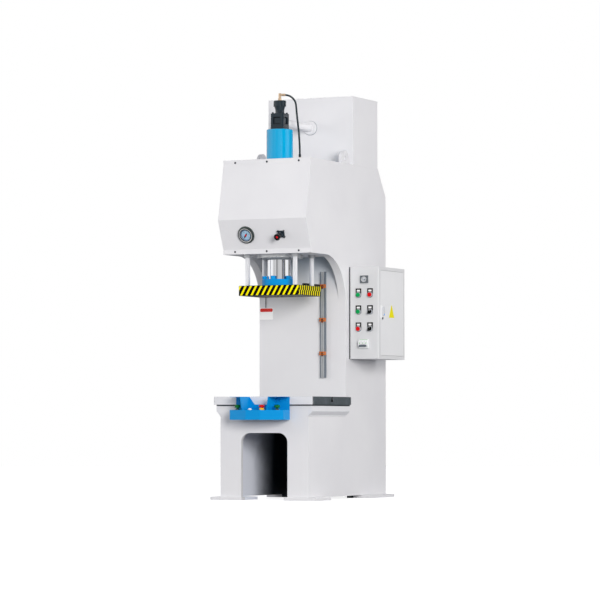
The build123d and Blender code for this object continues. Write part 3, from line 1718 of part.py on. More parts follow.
# Breaker: a stepped moulding through the cabinet's front, with a recess for its toggle
with BuildPart() as breaker:
    with BuildSketch(Plane.YZ.offset(panel_mid_x - breaker_width / 2)):
        with BuildLine():
            Polyline(
                (cabinet_y, breaker_z),
                (cabinet_y - breaker_base_proud, breaker_z),
                (cabinet_y - breaker_base_proud, breaker_z + breaker_nose_z - 8),
                (cabinet_y - breaker_nose_proud, breaker_z + breaker_nose_z - 8),
                (cabinet_y - breaker_nose_proud, breaker_z + breaker_nose_z + breaker_nose_height),
                (cabinet_y - breaker_base_proud, breaker_z + breaker_nose_z + breaker_nose_height),
                (cabinet_y - breaker_base_proud, breaker_z + breaker_height),
                (cabinet_y, breaker_z + breaker_height),
                close=True,
            )
        make_face()
    extrude(amount=breaker_width)
    with Locations((panel_mid_x, cabinet_y, breaker_z + breaker_height / 2)):
        Box(
            breaker_width - 10 - 2 * seat_fit,
            breaker_depth,
            breaker_height - 10 - 2 * seat_fit,
            align=(Align.CENTER, Align.MIN, Align.CENTER),
        )
    toggle_z = breaker_z + toggle_pivot_rise
    toggle_y = cabinet_y - breaker_nose_proud + toggle_r
    with Locations((panel_mid_x, cabinet_y - breaker_nose_proud, toggle_z)):
        Box(
            breaker_width - 2 * toggle_side_gap + 2 * loose_fit,
            2 * toggle_recess_depth,
            toggle_recess_height,
            mode=Mode.SUBTRACT,
        )
breaker.part.label = "breaker"
export_step(breaker.part, "parts/breaker.step")

# Breaker toggle: the barrel in the recess and the bar that ties the three poles
with BuildPart() as breaker_toggle:
    with BuildSketch(Plane.YZ.offset(panel_mid_x - breaker_width / 2 + toggle_side_gap)):
        with Locations((toggle_y, toggle_z)):
            Circle(toggle_r)
        with Locations(Location((toggle_y, toggle_z), 200)):
            Rectangle(toggle_reach, toggle_bar_t, align=(Align.MIN, Align.CENTER))
    extrude(amount=breaker_width - 2 * toggle_side_gap)
breaker_toggle.part.label = "breaker_toggle"
export_step(breaker_toggle.part, "parts/breaker_toggle.step")

# Control gear: contactors, transformer and terminal strip on their plate
with BuildPart() as control_gear:
    plate_x = cabinet_x + cabinet_t + gear_standoff
    plate_depth = cabinet_depth - 2 * gear_plate_margin
    plate_height = cabinet_height - 2 * gear_plate_margin
    middle_y = cabinet_y + cabinet_depth / 2
    with Locations((plate_x, middle_y, cabinet_z + cabinet_height / 2)):
        Box(gear_plate_t, plate_depth, plate_height, align=(Align.MIN, Align.CENTER, Align.CENTER))
    with Locations(Location((plate_x, middle_y, cabinet_z + cabinet_height / 2), (0, -90, 0))):
        with GridLocations(plate_height - 2 * gear_corner, plate_depth - 2 * gear_corner, 2, 2):
            Cylinder(
                gear_standoff_r,
                gear_standoff,
                align=(Align.CENTER, Align.CENTER, Align.MIN),
            )
    face_x = plate_x + gear_plate_t
    for place in range(contactor_count):
        contactor_y = middle_y + (place - (contactor_count - 1) / 2) * contactor_pitch
        with Locations((face_x, contactor_y, gear_row_z)):
            Box(*contactor_size, align=(Align.MIN, Align.CENTER, Align.CENTER))
        with Locations((face_x + contactor_size[0], contactor_y, gear_row_z)):
            Box(
                contactor_front_t,
                contactor_size[1] - 2 * contactor_edge,
                contactor_front_height,
                align=(Align.MIN, Align.CENTER, Align.CENTER),
            )
    with Locations((face_x, middle_y + gear_offset, transformer_z)):
        Box(*transformer_size, align=(Align.MIN, Align.CENTER, Align.CENTER))
    with Locations((face_x, middle_y - gear_offset, transformer_z)):
        Box(*relay_size, align=(Align.MIN, Align.CENTER, Align.CENTER))
    with Locations((face_x, middle_y, terminal_z)):
        Box(*terminal_size, align=(Align.MIN, Align.CENTER, Align.CENTER))
control_gear.part.label = "control_gear"
export_step(control_gear.part, "parts/control_gear.step")
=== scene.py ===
from math import cos, pi, radians, sin, tan

import bmesh
import bpy
from mathutils import Matrix, Vector


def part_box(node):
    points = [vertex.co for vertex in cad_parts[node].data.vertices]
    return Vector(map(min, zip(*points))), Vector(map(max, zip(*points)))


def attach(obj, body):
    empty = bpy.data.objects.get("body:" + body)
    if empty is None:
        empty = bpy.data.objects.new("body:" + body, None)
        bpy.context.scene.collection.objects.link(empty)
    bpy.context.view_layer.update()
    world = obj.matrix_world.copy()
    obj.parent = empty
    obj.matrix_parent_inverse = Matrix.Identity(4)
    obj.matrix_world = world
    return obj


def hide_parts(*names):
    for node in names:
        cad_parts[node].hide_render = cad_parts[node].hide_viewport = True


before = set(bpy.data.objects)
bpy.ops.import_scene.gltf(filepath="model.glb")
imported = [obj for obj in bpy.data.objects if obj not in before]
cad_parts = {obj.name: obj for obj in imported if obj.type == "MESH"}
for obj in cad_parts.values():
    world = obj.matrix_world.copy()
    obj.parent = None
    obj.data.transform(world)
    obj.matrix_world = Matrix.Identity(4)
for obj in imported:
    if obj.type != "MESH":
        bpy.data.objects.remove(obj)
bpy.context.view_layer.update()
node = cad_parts


# Frame plates: thick steel plates cut to shape, welded into a box with a C-shaped throat.
# The welds are ground and filled, and everything is sprayed with grey-white enamel.


def rgb(red, green, blue):
    """A colour read as it looks on screen, turned into the values that a shader needs."""
    parts = [c / 255 for c in (red, green, blue)]
    return [c / 12.92 if c <= 0.04045 else ((c + 0.055) / 1.055) ** 2.4 for c in parts] + [1.0]


class Nodes:
    """Small calls that add nodes to a tree and join them."""

    def __init__(self, tree, coordinates):
        self.tree = tree
        self.place = self.add("ShaderNodeTexCoord").outputs[coordinates]

    def add(self, kind, **settings):
        new = self.tree.nodes.new(kind)
        for key, value in settings.items():
            setattr(new, key, value)
        return new

    def feed(self, socket, value):
        if isinstance(value, bpy.types.NodeSocket):
            self.tree.links.new(value, socket)
        else:
            socket.default_value = value

    def math(self, operation, first, second=0.0):
        new = self.add("ShaderNodeMath", operation=operation)
        self.feed(new.inputs[0], first)
        self.feed(new.inputs[1], second)
        return new.outputs[0]

    def plus(self, first, second):
        return self.math("ADD", first, second)

    def minus(self, first, second):
        return self.math("SUBTRACT", first, second)

    def times(self, first, second):
        return self.math("MULTIPLY", first, second)

    def below(self, value, limit):
        return self.math("LESS_THAN", value, limit)

    def above(self, value, limit):
        return self.math("GREATER_THAN", value, limit)

    def axis(self, letter, source=None):
        parts = self.add("ShaderNodeSeparateXYZ")
        self.feed(parts.inputs[0], source or self.place)
        return parts.outputs[letter]

    def from_plane(self, letter, middle=0.0):
        """How far a spot lies from a middle plane, to either side."""
        return self.math("ABSOLUTE", self.minus(self.axis(letter), middle))

    def span(self, source, low, high, to_low, to_high):
        new = self.add("ShaderNodeMapRange")
        for socket, value in zip(new.inputs, (source, low, high, to_low, to_high)):
            self.feed(socket, value)
        return new.outputs[0]

    def mix(self, factor, first, second):
        new = self.add("ShaderNodeMix", data_type="RGBA")
        self.feed(new.inputs[0], factor)
        self.feed(new.inputs[6], first)
        self.feed(new.inputs[7], second)
        return new.outputs[2]


class Finish(Nodes):
    """A material under construction, whose places are metres in the machine's own frame."""

    def __init__(self, name):
        self.material = bpy.data.materials.new(name)
        self.material.use_nodes = True
        super().__init__(self.material.node_tree, "Object")
        self.surface = self.tree.nodes["Principled BSDF"]
        self.facing = self.place.node.outputs["Normal"]

    def noise(self, scale, detail=3.0, stretch=(1, 1, 1), rough=0.5):
        mapping = self.add("ShaderNodeMapping")
        self.feed(mapping.inputs["Vector"], self.place)
        mapping.inputs["Scale"].default_value = stretch
        new = self.add("ShaderNodeTexNoise")
        self.feed(new.inputs["Vector"], mapping.outputs[0])
        new.inputs["Scale"].default_value = scale
        new.inputs["Detail"].default_value = detail
        new.inputs["Roughness"].default_value = rough
        return new.outputs["Fac"]

    def patches(self, scale, detail, low, high):
        """Soft patches that range between two values."""
        return self.span(self.noise(scale, detail), 0.3, 0.7, low, high)

    def set(self, **sockets):
        for key, value in sockets.items():
            self.feed(self.surface.inputs[key.replace("_", " ")], value)

    def relief(self, height, distance, strength=1.0, round_edge=None):
        bump = self.add("ShaderNodeBump")
        self.feed(bump.inputs["Height"], height)
        bump.inputs["Distance"].default_value = distance
        bump.inputs["Strength"].default_value = strength
        if round_edge:
            edge = self.add("ShaderNodeBevel", samples=4)
            edge.inputs["Radius"].default_value = round_edge
            self.feed(bump.inputs["Normal"], edge.outputs[0])
        self.set(Normal=bump.outputs[0])

    def worn_edge(self, radius):
        """A mask that is 1 along sharp edges and 0 on flat faces."""
        edge = self.add("ShaderNodeBevel", samples=4)
        edge.inputs["Radius"].default_value = radius
        flat = self.add("ShaderNodeNewGeometry").outputs["Normal"]
        dot = self.add("ShaderNodeVectorMath", operation="DOT_PRODUCT")
        self.feed(dot.inputs[0], edge.outputs[0])
        self.feed(dot.inputs[1], flat)
        return self.span(dot.outputs["Value"], 0.99, 0.75, 0.0, 1.0)


plate_inner_x = 0.2955
bed_under_z = 0.6815
front_skin_y = -0.647
arch_painted_light = rgb(240, 244, 255)
painted_shade_grey = rgb(152, 166, 179)


def painted_arch_shade(coat, tone, arch_shade):
    """The pedestal's inside: painted light, a bluish white at the front, darkening further back into
    painted shade.
    """
    reach = coat.plus(coat.axis("Y"), coat.times(coat.noise(7.0, 3.0), 0.12))
    arch_shade_depth = coat.span(reach, -0.18, 0.14, 0.0, 1.0)
    within = coat.below(coat.from_plane("X"), plate_inner_x)
    within = coat.times(within, coat.below(coat.axis("Z"), bed_under_z))
    within = coat.times(within, coat.above(coat.axis("Y"), front_skin_y))
    return coat.mix(coat.times(within, arch_shade_depth), coat.mix(within, tone, arch_painted_light), arch_shade)


def throat_painted_shade(coat, tone, shade_heights):
    """Painted shade: the enamel greys between two heights, standing in for the shade under the head."""
    rise = coat.plus(coat.axis("Z"), coat.times(coat.noise(7.0, 3.0), 0.06))
    return coat.mix(coat.span(rise, shade_heights[0], shade_heights[1], 0.0, 1.0), tone, painted_shade_grey)


def enamel(
    name,
    colour,
    shade,
    rough=0.32,
    edge=0.0012,
    peel=0.00002,
    shine=0.4,
    lacquer=0.0,
    arch_shade=None,
    shade_heights=None,
):
    """Sprayed enamel: slow clouding and fine orange peel. Arch shade is the painted shade deep in the
    pedestal, and shade heights the two heights between which painted shade greys the paint."""
    coat = Finish(name)
    cloud = coat.span(coat.noise(2.3, 4.0), 0.35, 0.65, 0.0, 0.6)
    tone = coat.mix(cloud, colour, shade)
    if arch_shade:
        tone = painted_arch_shade(coat, tone, arch_shade)
    if shade_heights:
        tone = throat_painted_shade(coat, tone, shade_heights)
    gloss = coat.patches(9.0, 4.0, rough - 0.03, rough + 0.07)
    coat.set(Base_Color=tone, Roughness=gloss, Specular_IOR_Level=shine)
    coat.set(Coat_Weight=lacquer, Coat_Roughness=0.06, Coat_IOR=1.8)
    skin = coat.plus(coat.noise(230.0, 2.0), coat.times(coat.noise(60.0, 1.0), 0.6))
    coat.relief(skin, peel, round_edge=edge)
    return coat.material


def dress(material, *names):
    """Gives CAD nodes one material."""
    for name in names:
        mesh = node[name].data
        mesh.materials.clear()
        mesh.materials.append(material)


white, white_shade = rgb(226, 226, 229), rgb(219, 219, 223)
# The pedestal's inside carries painted light and shade: bluish white near the front, near black further
# back.
frame_white = enamel("grey_white_enamel", white, white_shade, arch_shade=rgb(17, 34, 44))
dress(frame_white, "left_side_plate", "right_side_plate", "pedestal_front_plate", "rear_plate")
dress(frame_white, "cylinder_seat_plate", "head_top_plate", "motor_shelf")
# The column plate greys towards the head's underside: painted shade for the shade under the head.
head_under_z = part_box("head_cover")[0].z
throat_shade_heights = (head_under_z - 0.26, head_under_z + 0.08)
dress(enamel("throat_enamel_with_painted_shade", white, white_shade, shade_heights=throat_shade_heights), "column_front_plate")
side_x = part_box("right_side_plate")[1].x
side_rear_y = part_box("right_side_plate")[1].y
column_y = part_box("column_front_plate")[0].y
pedestal_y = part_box("pedestal_front_plate")[0].y


# Foot plates: four flame-cut flats under the corners, welded all along the side plates.
# Each has one hole for a floor anchor, drilled through after painting.
dress(frame_white, "foot_plates")


def new_piece(name, mesh, material, body, crease=32):
    """Makes an object from a bmesh, smooth but for edges sharper than the crease, on a body."""
    bmesh.ops.recalc_face_normals(mesh, faces=mesh.faces)
    for face in mesh.faces:
        face.smooth = True
    for edge in mesh.edges:
        edge.smooth = len(edge.link_faces) == 2 and edge.calc_face_angle(0) < radians(crease)
    data = bpy.data.meshes.new(name)
    mesh.to_mesh(data)
    mesh.free()
    data.materials.append(material)
    piece = bpy.data.objects.new(name, data)
    bpy.context.scene.collection.objects.link(piece)
    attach(piece, body)
    return piece


def join_rings(mesh, near, far):
    """Closes the strip between two rings of as many corners."""
    for i in range(len(near)):
        nxt = (i + 1) % len(near)
        mesh.faces.new((near[i], near[nxt], far[nxt], far[i]))


weld_step = 0.006
ripple_length, ripple_share = 0.0045, 0.09
bead_corners = 8


def weld_beads(name, runs, leg, material=frame_white):
    """Rippled fillet welds: a round bar, half sunk in the corner, along each run of points."""
    mesh = bmesh.new()
    for run in runs:
        points = [Vector(p) for p in run]
        travelled = 0.0
        rings = []
        for start, end in zip(points, points[1:]):
            along = end - start
            side = along.orthogonal().normalized()
            up = along.cross(side).normalized()
            count = max(2, int(along.length / weld_step))
            for i in range(count + 1):
                here = start + along * i / count
                ripple = abs(sin((travelled + along.length * i / count) / ripple_length))
                size = leg * (1 + ripple_share * ripple)
                ring = []
                for corner in range(bead_corners):
                    turn = 2 * pi * corner / bead_corners
                    ring.append(mesh.verts.new(here + (side * cos(turn) + up * sin(turn)) * size))
                rings.append(ring)
            travelled += along.length
        for near, far in zip(rings, rings[1:]):
            join_rings(mesh, near, far)
        mesh.faces.new(rings[0][::-1])
        mesh.faces.new(rings[-1])
    new_piece(name, mesh, material, "frame", crease=60)


foot_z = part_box("foot_plates")[1].z
front_foot_rear_y = -0.4425
rear_foot_front_y = 0.2165
arch_half = 0.187
rear_foot_inner_x = 0.246
foot_runs = []
for side in (-1, 1):
    edge_x = side * side_x
    foot_runs.append([(edge_x, pedestal_y, foot_z), (edge_x, front_foot_rear_y, foot_z)])
    foot_runs.append([(edge_x, rear_foot_front_y, foot_z), (edge_x, side_rear_y, foot_z)])
    foot_runs.append([(edge_x, pedestal_y, foot_z), (side * arch_half, pedestal_y, foot_z)])
    foot_runs.append([(edge_x, side_rear_y, foot_z), (side * rear_foot_inner_x, side_rear_y, foot_z)])
weld_beads("foot_welds", foot_runs, 0.005)


# Lifting lugs: two round-topped ears of thick plate, flame-cut and drilled for a shackle. They
# stand on the head, welded all round their feet, and are painted with it.
dress(frame_white, "lifting_lugs")
lug_low, lug_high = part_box("lifting_lugs")
lug_thickness = 0.026
lug_runs = []
for side in (-1, 1):
    outer = side * lug_high.x
    inner = side * (lug_high.x - lug_thickness)
    corners = [(outer, lug_low.y), (outer, lug_high.y), (inner, lug_high.y), (inner, lug_low.y)]
    lug_runs.append([(x, y, lug_low.z) for x, y in corners + corners[:1]])
weld_beads("lug_welds", lug_runs, 0.005)


# Bed plate: a blued plate under the table, with a bent ledge welded along each side plate.
# Only the plate's edge stays dark; the ledges are painted with the frame.
bed = Finish("bed_edge_and_ledge")
bed_dark = bed.mix(bed.noise(60.0, 4.0), rgb(52, 62, 70), rgb(34, 40, 46))
bed_light = bed.mix(bed.noise(3.0, 4.0), rgb(226, 227, 231), rgb(219, 220, 225))
bed_low, bed_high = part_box("bed_plate")
is_plate = bed.above(bed.axis("Z"), bed_under_z + 0.0007)
bed.set(Base_Color=bed.mix(is_plate, bed_light, bed_dark), Roughness=bed.span(is_plate, 0, 1, 0.35, 0.5))
bed.relief(bed.noise(200.0, 2.0), 0.00006, round_edge=0.0015)
dress(bed.material, "bed_plate")
ledge_runs = []
for side in (-1, 1):
    edge_x = side * side_x
    ledge_runs.append([(edge_x, pedestal_y, bed_low.z), (edge_x, bed_high.y, bed_low.z)])
weld_beads("ledge_welds", ledge_runs, 0.004)


# Table: a thick machined plate. Its front edge is painted with the frame, and the top and
# the sides keep the fine lines of the milling cutter under a film of oil.
table = Finish("milled_table_plate")
table_low, table_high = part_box("table")
top_skin, slot_skin, front_skin = 0.0006, 0.0008, 0.001
is_front = table.below(table.axis("Y", table.facing), -0.5)
is_top = table.above(table.axis("Z"), table_high.z - top_skin)
milling = table.noise(1.0, 2.0, stretch=(9, 520, 9))
swirl = table.patches(14.0, 5.0, 0.0, 1.0)
steel = table.mix(milling, rgb(126, 136, 143), rgb(98, 107, 113))
steel = table.mix(table.times(swirl, 0.4), steel, rgb(64, 71, 76))
steel = table.mix(table.times(is_top, 0.75), steel, rgb(190, 194, 197))
steel = table.mix(table.times(table.worn_edge(0.002), 0.4), steel, rgb(128, 136, 140))
table_white = table.mix(table.noise(3.0, 4.0), rgb(224, 225, 229), rgb(216, 217, 222))
# The slot's inside is coloured near black: painted shade in the recess.
slot_painted_shade = table.times(
    table.below(table.from_plane("X"), table_high.x - slot_skin),
    table.below(table.axis("Z"), table_high.z - slot_skin),
)
slot_painted_shade = table.times(slot_painted_shade, table.above(table.axis("Y"), table_low.y + front_skin))
table.set(
    Base_Color=table.mix(slot_painted_shade, table.mix(is_front, steel, table_white), rgb(20, 23, 26)),
    Metallic=table.times(table.span(is_front, 0, 1, 0.55, 0.0), table.minus(1.0, slot_painted_shade)),
    Roughness=table.patches(30.0, 4.0, 0.36, 0.5),
)
table.relief(table.plus(milling, table.noise(300.0, 2.0)), 0.00004, round_edge=0.002)
dress(table.material, "table")


# Rear cover: a sheet of thin steel with louvres pressed out of it, sprayed with the frame.
# Ten button-head screws hold it over the motor's opening, so that it comes off for service.
dress(frame_white, "rear_cover")


def spun(mesh, profile, place, sides=32):
    """Adds a turned form: (radius, height) points about the place's Z, or with a third number
    for a socket with that many flats."""
    rings = []
    for point in profile:
        radius, height = point[0], point[1]
        flats = point[2] if len(point) > 2 else 0
        if radius == 0:
            rings.append([mesh.verts.new(place @ Vector((0, 0, height)))])
            continue
        ring = []
        for i in range(sides):
            turn = 2 * pi * i / sides
            reach = radius
            if flats:
                part = 2 * pi / flats
                reach = radius * cos(part / 2) / cos((turn % part) - part / 2)
            spot = place @ Vector((reach * cos(turn), reach * sin(turn), height))
            ring.append(mesh.verts.new(spot))
        rings.append(ring)
    for near, far in zip(rings, rings[1:]):
        if len(near) == 1 and len(far) == 1:
            continue
        for i in range(sides):
            nxt = (i + 1) % sides
            if len(near) == 1:
                mesh.faces.new((near[0], far[nxt], far[i]))
            elif len(far) == 1:
                mesh.faces.new((near[i], near[nxt], far[0]))
            else:
                mesh.faces.new((near[i], near[nxt], far[nxt], far[i]))


def facing(origin, right, up):
    """A place whose Z stands off a face, with X along right and Y along up."""
    right, up = Vector(right).normalized(), Vector(up).normalized()
    out = right.cross(up)
    place = Matrix((right, up, out)).transposed().to_4x4()
    place.translation = Vector(origin)
    return place


def on_front(*spot):
    """A place on an upright face that looks forward."""
    return facing(spot, (1, 0, 0), (0, 0, 1))


def on_top(*spot):
    """A place on a level face that looks up."""
    return facing(spot, (1, 0, 0), (0, 1, 0))


def button_screw(mesh, place, head_r, head_t):
    """A button-head screw with a hexagon socket and its washer, standing on the face."""
    socket = head_r * 0.48
    profile = [
        (head_r * 1.35, 0.0),
        (head_r * 1.35, head_t * 0.22),
        (head_r, head_t * 0.24),
        (head_r, head_t * 0.5),
        (head_r * 0.86, head_t * 0.82),
        (head_r * 0.6, head_t),
        (socket, head_t, 6),
        (socket, head_t * 0.45, 6),
        (0, head_t * 0.4),
    ]
    spun(mesh, profile, place, sides=24)


def toned(tone, share, lift=0.0):
    """The same colour, darker or lighter by a share."""
    return [min(1.0, c * share + lift) for c in tone[:3]] + [1.0]


def bright_metal(name, tone, rough, grain=90.0, metal=1.0, edge=0.0008):
    """Plated or turned metal: fine grain in tone and gloss, lighter at the edges."""
    plate = Finish(name)
    grain_map = plate.noise(grain, 5.0, rough=0.6)
    shade = plate.mix(plate.span(grain_map, 0.3, 0.7, 0.0, 0.6), tone, toned(tone, 0.72))
    rubbed = plate.times(plate.worn_edge(edge * 1.5), 0.5)
    shade = plate.mix(rubbed, shade, toned(tone, 1.3, lift=0.03))
    gloss = plate.patches(grain / 3, 3.0, rough * 0.8, rough * 1.3)
    plate.set(Base_Color=shade, Roughness=gloss, Metallic=metal)
    plate.relief(plate.noise(grain * 4, 2.0), 0.00003, round_edge=edge)
    return plate.material


zinc_screw = bright_metal("zinc_plated_screws", rgb(168, 170, 170), 0.3)
black_screw = bright_metal("blacked_screws", rgb(46, 54, 62), 0.42, metal=0.6)
cover_low, cover_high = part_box("rear_cover")
cover_face_y = cover_low.y + 0.004
side_inset, end_inset = 0.014, 0.02
low_z, high_z = cover_low.z + end_inset, cover_high.z - end_inset
screw_spots = []
for x in (cover_low.x + side_inset, cover_high.x - side_inset):
    screw_spots += [(x, cover_face_y, low_z + i * (high_z - low_z) / 3) for i in range(4)]
screw_spots += [(0, cover_face_y, z) for z in (low_z, high_z)]
screws = bmesh.new()
for spot in screw_spots:
    button_screw(screws, facing(spot, (-1, 0, 0), (0, 0, 1)), 0.0055, 0.004)
new_piece("rear_cover_screws", screws, zinc_screw, "frame")


# Motor and pump: a finned cast motor in blue-grey enamel with a black gear pump on its
# flange. They stand on the shelf in the column, behind the louvred cover.
motor_grey = enamel("motor_enamel", rgb(98, 118, 140), rgb(84, 102, 122), rough=0.4)
dress(motor_grey, "motor")
black, black_shade = rgb(33, 46, 55), rgb(22, 32, 40)
cast_black = enamel("black_valve_enamel", black, black_shade, rough=0.17, edge=0.002, shine=0.5)
dress(cast_black, "pump")


# Oil tank: a box of folded steel plate, welded on the head and sprayed with the frame. Its
# lid is held by screws all round and carries a breather of blacked steel.
dress(frame_white, "oil_tank", "tank_lid")
tank_low, tank_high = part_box("oil_tank")
corners = [(tank_low.x, tank_high.y), (tank_low.x, tank_low.y)]
corners += [(tank_high.x, tank_low.y), (tank_high.x, tank_high.y)]
weld_beads("tank_welds", [[(x, y, tank_low.z) for x, y in corners]], 0.004)

lid_top = tank_high.z + 0.008
left_x, right_x = tank_low.x + 0.02, tank_high.x - 0.02
near_y, far_y = tank_low.y + 0.018, tank_high.y - 0.018
lid_spots = []
for i in range(7):
    x = left_x + i * (right_x - left_x) / 6
    lid_spots += [(x, near_y), (x, far_y)]
for i in range(1, 4):
    y = near_y + i * (far_y - near_y) / 4
    lid_spots += [(left_x, y), (right_x, y)]
lid_screws = bmesh.new()
for x, y in lid_spots:
    button_screw(lid_screws, on_top(x, y, lid_top), 0.006, 0.0035)
new_piece("lid_screws", lid_screws, frame_white, "frame")


def turned_piece(name, profile, place, material, sides=32, body="frame"):
    """A piece that is one turned form."""
    mesh = bmesh.new()
    spun(mesh, profile, place, sides)
    new_piece(name, mesh, material, body)


breather_x, breather_y = 0.120, 0.4465
breather_place = Matrix.Translation((breather_x, breather_y, lid_top))
breather_profile = [(0.0345, 0.003), (0.0345, 0.006), (0.0325, 0.0065)]
for i in range(5):
    z = 0.0085 + i * 0.0035
    breather_profile += [(0.0325, z), (0.0338, z + 0.0008), (0.0338, z + 0.0018), (0.0325, z + 0.0026)]
breather_profile += [(0.0325, 0.0262), (0.0290, 0.0298), (0.012, 0.0299), (0.010, 0.0285), (0, 0.0285)]
turned_piece("breather_cap", breather_profile, breather_place, black_screw, sides=64)


# Fill pipe: drawn steel tube that brings oil from the tank to the prefill valve. It has a
# turned sleeve at the valve and is welded into a ring on the tank's front.
dress(frame_white, "fill_pipe")
pipe_z = 2.766
ring_r = 0.051
ring_steps = 48
pipe_ring = []
for i in range(ring_steps + 1):
    turn = 2 * pi * i / ring_steps
    pipe_ring.append((ring_r * cos(turn), tank_low.y, pipe_z + ring_r * sin(turn)))
# The weld round the pipe is coloured grey as painted shade, to outline the joint.
weld_painted_shade_grey = enamel("pipe_weld_painted_shade_enamel", rgb(176, 180, 186), rgb(162, 166, 172))
weld_beads("pipe_weld", [pipe_ring], 0.004, weld_painted_shade_grey)


# Cylinder: a barrel bored and turned from thick steel tube. Its neck stands out of the head
# under a glossy blue lacquer, and the ram's flange with its six bolts is painted blue too.
blue, blue_shade = rgb(0, 160, 209), rgb(0, 154, 204)
neck_blue = enamel("neck_blue_enamel", blue, blue_shade, rough=0.09, shine=0.35, lacquer=0.25)
dress(neck_blue, "cylinder_barrel")
press_blue = enamel("press_blue_enamel", rgb(0, 150, 222), rgb(0, 140, 212), rough=0.33, shine=0.2)
dress(press_blue, "ram_flange", "ram_bolts")


# Clamp nut and gland bush: rings turned from steel bar and left bare. The nut holds the
# barrel up against its seat, and the bush guides the ram in the barrel's lower end.
ram_y = -0.4225


def turned_steel(name, tone, rough, metal=0.55):
    """Steel as it leaves the lathe, with rings about the cylinder's upright axis."""
    lathe_lines = 1400.0
    turned = Finish(name)
    across = turned.add("ShaderNodeCombineXYZ")
    turned.feed(across.inputs[0], turned.axis("X"))
    turned.feed(across.inputs[1], turned.minus(turned.axis("Y"), ram_y))
    out = turned.add("ShaderNodeVectorMath", operation="LENGTH")
    turned.feed(out.inputs[0], across.outputs[0])
    ridge = turned.plus(turned.axis("Z"), out.outputs["Value"])
    patch = turned.patches(22.0, 4.0, 0.0, 1.0)
    turned.set(
        Base_Color=turned.mix(turned.times(patch, 0.45), tone, toned(tone, 0.78)),
        Roughness=turned.span(patch, 0.0, 1.0, rough * 0.8, rough * 1.2),
        Metallic=metal,
    )
    tool_marks = turned.math("SINE", turned.times(ridge, lathe_lines))
    turned.relief(tool_marks, 0.00001, strength=0.5, round_edge=0.0012)
    return turned.material


dress(turned_steel("turned_clamp_nut", rgb(206, 208, 210), 0.32), "clamp_nut")
dress(turned_steel("turned_gland_bush", rgb(176, 180, 184), 0.4), "gland_bush")


# Ram and guide rods: steel bars, ground and hard-chromed, so smooth that only streaks of
# oil show. The ram is polished to a mirror, and the four rods are left a little duller.
def hard_chrome(name, tone, rough, metal=1.0):
    """Hard chrome, with oil streaks along the bar."""
    chrome = Finish(name)
    streak = chrome.noise(1.0, 3.0, stretch=(60, 60, 3))
    chrome.set(
        Base_Color=chrome.mix(chrome.span(streak, 0.35, 0.7, 0.0, 0.5), tone, toned(tone, 0.8)),
        Roughness=chrome.span(streak, 0.3, 0.7, rough * 0.85, rough * 1.15),
        Metallic=metal,
    )
    chrome.relief(chrome.noise(700.0, 2.0), 0.000001)
    return chrome.material


dress(hard_chrome("hard_chrome_ram", rgb(240, 241, 244), 0.07), "ram")
dress(hard_chrome("hard_chrome_rods", rgb(246, 247, 251), 0.36, metal=0.5), "guide_rods")


# Guide bushes: flanged sleeves turned from steel and pressed into the seat plate. They stay
# bare and bright, and the rods slide in them.
dress(turned_steel("turned_guide_bushes", rgb(198, 200, 203), 0.34, metal=0.6), "guide_bushes")


# Slide: the moving platen. Its four edges carry yellow and black tape; the top and the
# underside are planed steel, coloured dark grey.
slide = Finish("slide_with_hazard_tape")
height = slide.minus(slide.axis("Z"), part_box("slide")[0].z)
front_pitch, front_lean, front_start = 0.0428, 0.56, 1.0063
front_phase = slide.minus(slide.axis("X"), slide.times(height, front_lean))
front_phase = slide.math("DIVIDE", slide.plus(front_phase, front_start), front_pitch)
side_pitch, side_lean, side_start = 0.0335, 0.13, 1.0
tape_width = 0.037
side_phase = slide.plus(slide.axis("Y"), slide.times(height, side_lean))
side_phase = slide.math("DIVIDE", slide.plus(side_phase, side_start), side_pitch)
side_phase = slide.plus(side_phase, slide.times(slide.above(height, tape_width), 0.5))
is_side = slide.above(slide.math("ABSOLUTE", slide.axis("X", slide.facing)), 0.7)
phase = slide.add("ShaderNodeMix", data_type="FLOAT")
slide.feed(phase.inputs[0], is_side)
slide.feed(phase.inputs[2], front_phase)
slide.feed(phase.inputs[3], side_phase)
yellow_share = slide.span(is_side, 0, 1, 0.40, 0.32)
is_yellow = slide.below(slide.math("FRACT", phase.outputs[0]), yellow_share)
scuff = slide.span(slide.noise(70.0, 6.0, rough=0.65), 0.62, 0.8, 0.0, 0.5)
yellow = slide.mix(slide.noise(25.0, 3.0), rgb(255, 244, 0), rgb(248, 230, 0))
black = slide.mix(slide.noise(25.0, 3.0), rgb(4, 4, 4), rgb(9, 8, 7))
tape = slide.mix(is_yellow, black, yellow)
tape = slide.mix(slide.times(scuff, 0.15), tape, rgb(120, 112, 60))
planed = slide.mix(slide.noise(1.0, 3.0, stretch=(8, 380, 8)), rgb(52, 62, 68), rgb(38, 45, 50))
is_flat = slide.above(slide.math("ABSOLUTE", slide.axis("Z", slide.facing)), 0.6)
slide.set(
    Base_Color=slide.mix(is_flat, tape, planed),
    Metallic=slide.span(is_flat, 0, 1, 0.0, 0.6),
    Roughness=slide.span(is_flat, 0, 1, 0.55, 0.46),
    Specular_IOR_Level=0.1,
)
slide.relief(slide.noise(240.0, 3.0), 0.00004)
dress(slide.material, "slide")


# Trip arm: a flat steel bar, sawn off and blacked, held on the slide by two cap screws. It
# passes the limit switches as the slide travels.
blacked_bar = bright_metal("blacked_trip_arm", rgb(34, 36, 40), 0.45, metal=0.5, edge=0.001)
dress(blacked_bar, "trip_arm")
arm_low, arm_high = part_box("trip_arm")
arm_seat_y, counterbore = 0.104, 0.006
head = [(0.0088, 0.0), (0.0088, 0.0052), (0.0082, 0.0058)]
head += [(0.0045, 0.0058, 6), (0.0045, 0.002, 6), (0, 0.002)]
arm_screws = bmesh.new()
for share in (1 / 4, 3 / 4):
    y = arm_low.y + share * arm_seat_y
    place = on_top((arm_low.x + arm_high.x) / 2, y, arm_high.z - counterbore)
    spun(arm_screws, head, place, sides=24)
new_piece("trip_arm_screws", arm_screws, zinc_screw, "ram_and_slide")


